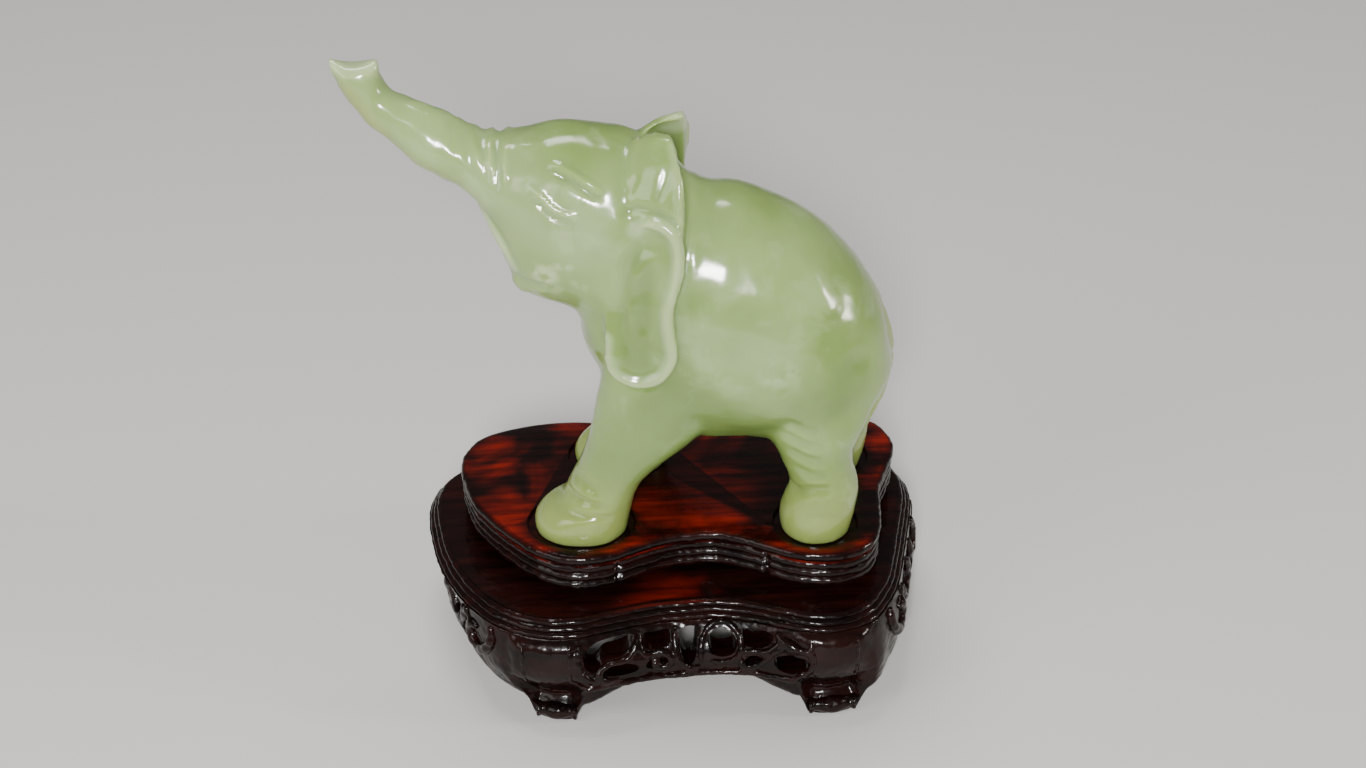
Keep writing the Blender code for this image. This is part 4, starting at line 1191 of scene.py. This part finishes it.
def make_patches():
    """Soft-edged patches: a mask that goes from 0 to 1 between two levels of a cloudy noise."""
    number = "NodeSocketFloat"
    tree, given, result = new_group("soft_patches", (
        ("Place", "NodeSocketVector", None), ("Scale", number, 60.0), ("Detail", number, 3.0),
        ("Roughness", number, 0.5), ("Distortion", number, 0.0), ("Low", number, 0.4),
        ("High", number, 0.6)), "Mask", number)
    cloud = tree.nodes.new("ShaderNodeTexNoise")
    tree.links.new(given["Place"], cloud.inputs["Vector"])
    for name in ("Scale", "Detail", "Roughness", "Distortion"):
        tree.links.new(given[name], cloud.inputs[name])
    tree.links.new(spread(tree, cloud.outputs["Fac"], given["Low"], given["High"]), result["Mask"])
    return tree


def make_hand_work():
    """The unevenness that hand work leaves: a height over the surface, for a bump."""
    tree, given, result = new_group(
        "hand_work", (("Scale", "NodeSocketFloat", 200.0),), "Height", "NodeSocketFloat")
    place = tree.nodes.new("ShaderNodeTexCoord").outputs["Object"]
    cloud = node(tree, "ShaderNodeTexNoise", Detail=2.0, Roughness=0.45)
    tree.links.new(place, cloud.inputs["Vector"])
    tree.links.new(given["Scale"], cloud.inputs["Scale"])
    tree.links.new(cloud.outputs["Fac"], result["Height"])
    return tree


SOFT_PATCHES = make_patches()
HAND_WORK = make_hand_work()
BUMP_HEIGHT = 0.0004


def use_group(tree, group, **values):
    made = tree.nodes.new("ShaderNodeGroup")
    made.node_tree = group
    for name, value in values.items():
        if isinstance(value, bpy.types.NodeSocket):
            tree.links.new(value, made.inputs[name])
        else:
            made.inputs[name].default_value = value
    return made.outputs[0]


def layer_of(tree, name):
    made = tree.nodes.new("ShaderNodeAttribute")
    made.attribute_name = name
    return made.outputs["Fac"]


def jade_material():
    made, tree, shader = new_material("polished_celadon_jade")
    link = tree.links.new
    place = node(tree, "ShaderNodeTexCoord").outputs["Object"]
    clouds = use_group(tree, SOFT_PATCHES, Place=place, Scale=34.0, Distortion=0.25, Low=0.32, High=0.68)
    colour = blend(tree, clouds, (0.190, 0.288, 0.072, 1), (0.285, 0.394, 0.145, 1))
    veins = use_group(tree, SOFT_PATCHES, Place=place, Scale=85.0, Detail=4.0, Roughness=0.6,
                      Distortion=0.5, Low=0.48, High=0.72)
    colour = blend(tree, spread(tree, veins, 0.0, 1.0, 0.0, 0.35), colour, (0.38, 0.50, 0.25, 1))
    # Deeper green: painted shade under the belly, in the ears' hollows and behind the front legs, and on
    # the near hip.
    deep = spread(tree, layer_of(tree, "deep_green_and_painted_shade"), 0.0, 1.0, 0.0, 0.75)
    colour = blend(tree, deep, colour, (0.10, 0.17, 0.030, 1))
    warm = spread(tree, layer_of(tree, "warm_stone"), 0.0, 1.0, 0.0, 0.6)
    colour = blend(tree, warm, colour, (0.31, 0.34, 0.095, 1))
    # Paler: the stone's clouds and tones, with painted light glowing through the thin ear rims and trunk
    # tip and a painted highlight along the jaw's edge.
    pale = spread(tree, layer_of(tree, "pale_stone_and_painted_light"), 0.0, 1.0, 0.0, 0.8)
    colour = blend(tree, pale, colour, (0.46, 0.56, 0.32, 1))
    link(colour, shader.inputs["Base Color"])
    shader.inputs["Roughness"].default_value = 0.16
    shader.inputs["Subsurface Weight"].default_value = 0.75
    shader.inputs["Subsurface Radius"].default_value = (1.0, 0.95, 0.45)
    shader.inputs["Subsurface Scale"].default_value = 0.005
    shader.inputs["IOR"].default_value = 1.6
    polish = node(tree, "ShaderNodeBump", Strength=0.22, Distance=BUMP_HEIGHT)
    link(use_group(tree, HAND_WORK, Scale=190.0), polish.inputs["Height"])
    link(polish.outputs["Normal"], shader.inputs["Normal"])
    return made


def wood_material():
    made, tree, shader = new_material("dark_rosewood_lacquer")
    link = tree.links.new
    place = node(tree, "ShaderNodeTexCoord").outputs["Object"]
    stretch = node(tree, "ShaderNodeMapping")
    stretch.inputs["Scale"].default_value = (0.10, 1.0, 1.0)
    link(place, stretch.inputs["Vector"])
    grain = use_group(tree, SOFT_PATCHES, Place=stretch.outputs["Vector"], Scale=420.0, Detail=6.0,
                      Roughness=0.6, Low=0.36, High=0.70)
    figure = use_group(tree, SOFT_PATCHES, Place=place, Scale=60.0, Distortion=0.5, Low=0.38, High=0.64)
    dark = blend(tree, grain, (0.0030, 0.0010, 0.0008, 1), (0.0120, 0.0026, 0.0018, 1))
    red = blend(tree, grain, (0.070, 0.0036, 0.0018, 1), (0.230, 0.0110, 0.0045, 1))
    red = blend(tree, figure, dark, red)
    # Red on the upward faces; on the ledge the red gives way to painted shade outside its lit bay.
    colour = blend(tree, layer_of(tree, "red_top_and_ledge_shade"), dark, red)
    link(colour, shader.inputs["Base Color"])
    shader.inputs["Roughness"].default_value = 0.26
    shader.inputs["Specular IOR Level"].default_value = 0.12
    shader.inputs["Coat Weight"].default_value = 0.20
    shader.inputs["Coat Roughness"].default_value = 0.08
    worked = node(tree, "ShaderNodeBump", Strength=0.35, Distance=BUMP_HEIGHT)
    link(use_group(tree, HAND_WORK, Scale=480.0), worked.inputs["Height"])
    link(worked.outputs["Normal"], shader.inputs["Normal"])
    link(worked.outputs["Normal"], shader.inputs["Coat Normal"])
    return made


def floor_material():
    made, _, shader = new_material("pale_floor")
    shader.inputs["Base Color"].default_value = (0.62, 0.61, 0.59, 1)
    shader.inputs["Roughness"].default_value = 0.6
    return made


elephant = make_figure()
stand = make_stand()
elephant.data.materials.append(jade_material())
stand.data.materials.append(wood_material())
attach(elephant, "root")
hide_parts("jade_elephant")
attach(stand, "root")
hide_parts("wood_stand")


# Floor, camera and lights
def make_floor():
    bm = bmesh.new()
    bmesh.ops.create_grid(bm, x_segments=1, y_segments=1, size=4.0)
    floor = add_object("floor", mesh_of(bm, "floor"))
    floor.data.materials.append(floor_material())


VIEW_PITCH = math.radians(34.0)
VIEW_YAW = math.radians(4.2)
VIEW_DISTANCE = 478.3 * MM
VIEW_RISE = -22.39 * MM
FOCAL_PIXELS = 2200.0
PHOTO_WIDTH = 1366.0


def make_camera():
    """The camera of the photograph: it looks down on the plate's middle."""
    forward = Vector((0, math.cos(VIEW_PITCH), -math.sin(VIEW_PITCH)))
    up = Vector((0, math.sin(VIEW_PITCH), math.cos(VIEW_PITCH)))
    spot = -(up * VIEW_RISE + forward * VIEW_DISTANCE)
    turn = Matrix.Rotation(-VIEW_YAW, 4, "Z")
    target = Vector((PLATE_SPOT.x, PLATE_SPOT.y, STAND_TOP)) * MM
    axes = Matrix((Vector((1, 0, 0)), up, -forward)).transposed().to_4x4()
    data = bpy.data.cameras.new("camera")
    data.sensor_width = 36.0
    data.lens = FOCAL_PIXELS / PHOTO_WIDTH * data.sensor_width
    data.clip_start = 0.01
    camera = bpy.data.objects.new("camera", data)
    camera.matrix_world = Matrix.Translation(target) @ turn @ Matrix.Translation(spot) @ axes
    bpy.context.scene.collection.objects.link(camera)
    bpy.context.scene.camera = camera


def soft_light(name, spot, aim, size, power, colour=(1, 1, 1)):
    data = bpy.data.lights.new(name, "AREA")
    data.shape = "RECTANGLE"
    data.size, data.size_y = size
    data.energy = power
    data.color = colour
    lamp = bpy.data.objects.new(name, data)
    lamp.location = spot
    lamp.rotation_euler = (Vector(aim) - Vector(spot)).to_track_quat("-Z", "Y").to_euler()
    bpy.context.scene.collection.objects.link(lamp)


def make_lights():
    aim = (0, 0, 0.07)
    soft_light("key", (-0.10, -0.82, 0.56), aim, (0.15, 0.15), 12.0)
    soft_light("side", (0.86, -0.16, 0.34), aim, (0.10, 0.20), 2.5, (1.0, 0.94, 0.85))
    soft_light("fill", (-0.7, -0.5, 0.5), aim, (0.5, 0.5), 3.0, (1.0, 0.97, 0.93))
    soft_light("top", (-0.1, 0.30, 1.1), aim, (0.5, 0.3), 6.0)
    world = bpy.data.worlds.new("studio")
    world.use_nodes = True
    world.node_tree.nodes["Background"].inputs["Color"].default_value = (0.8, 0.8, 0.8, 1)
    world.node_tree.nodes["Background"].inputs["Strength"].default_value = 0.22
    bpy.context.scene.world = world


make_floor()
make_camera()
make_lights()
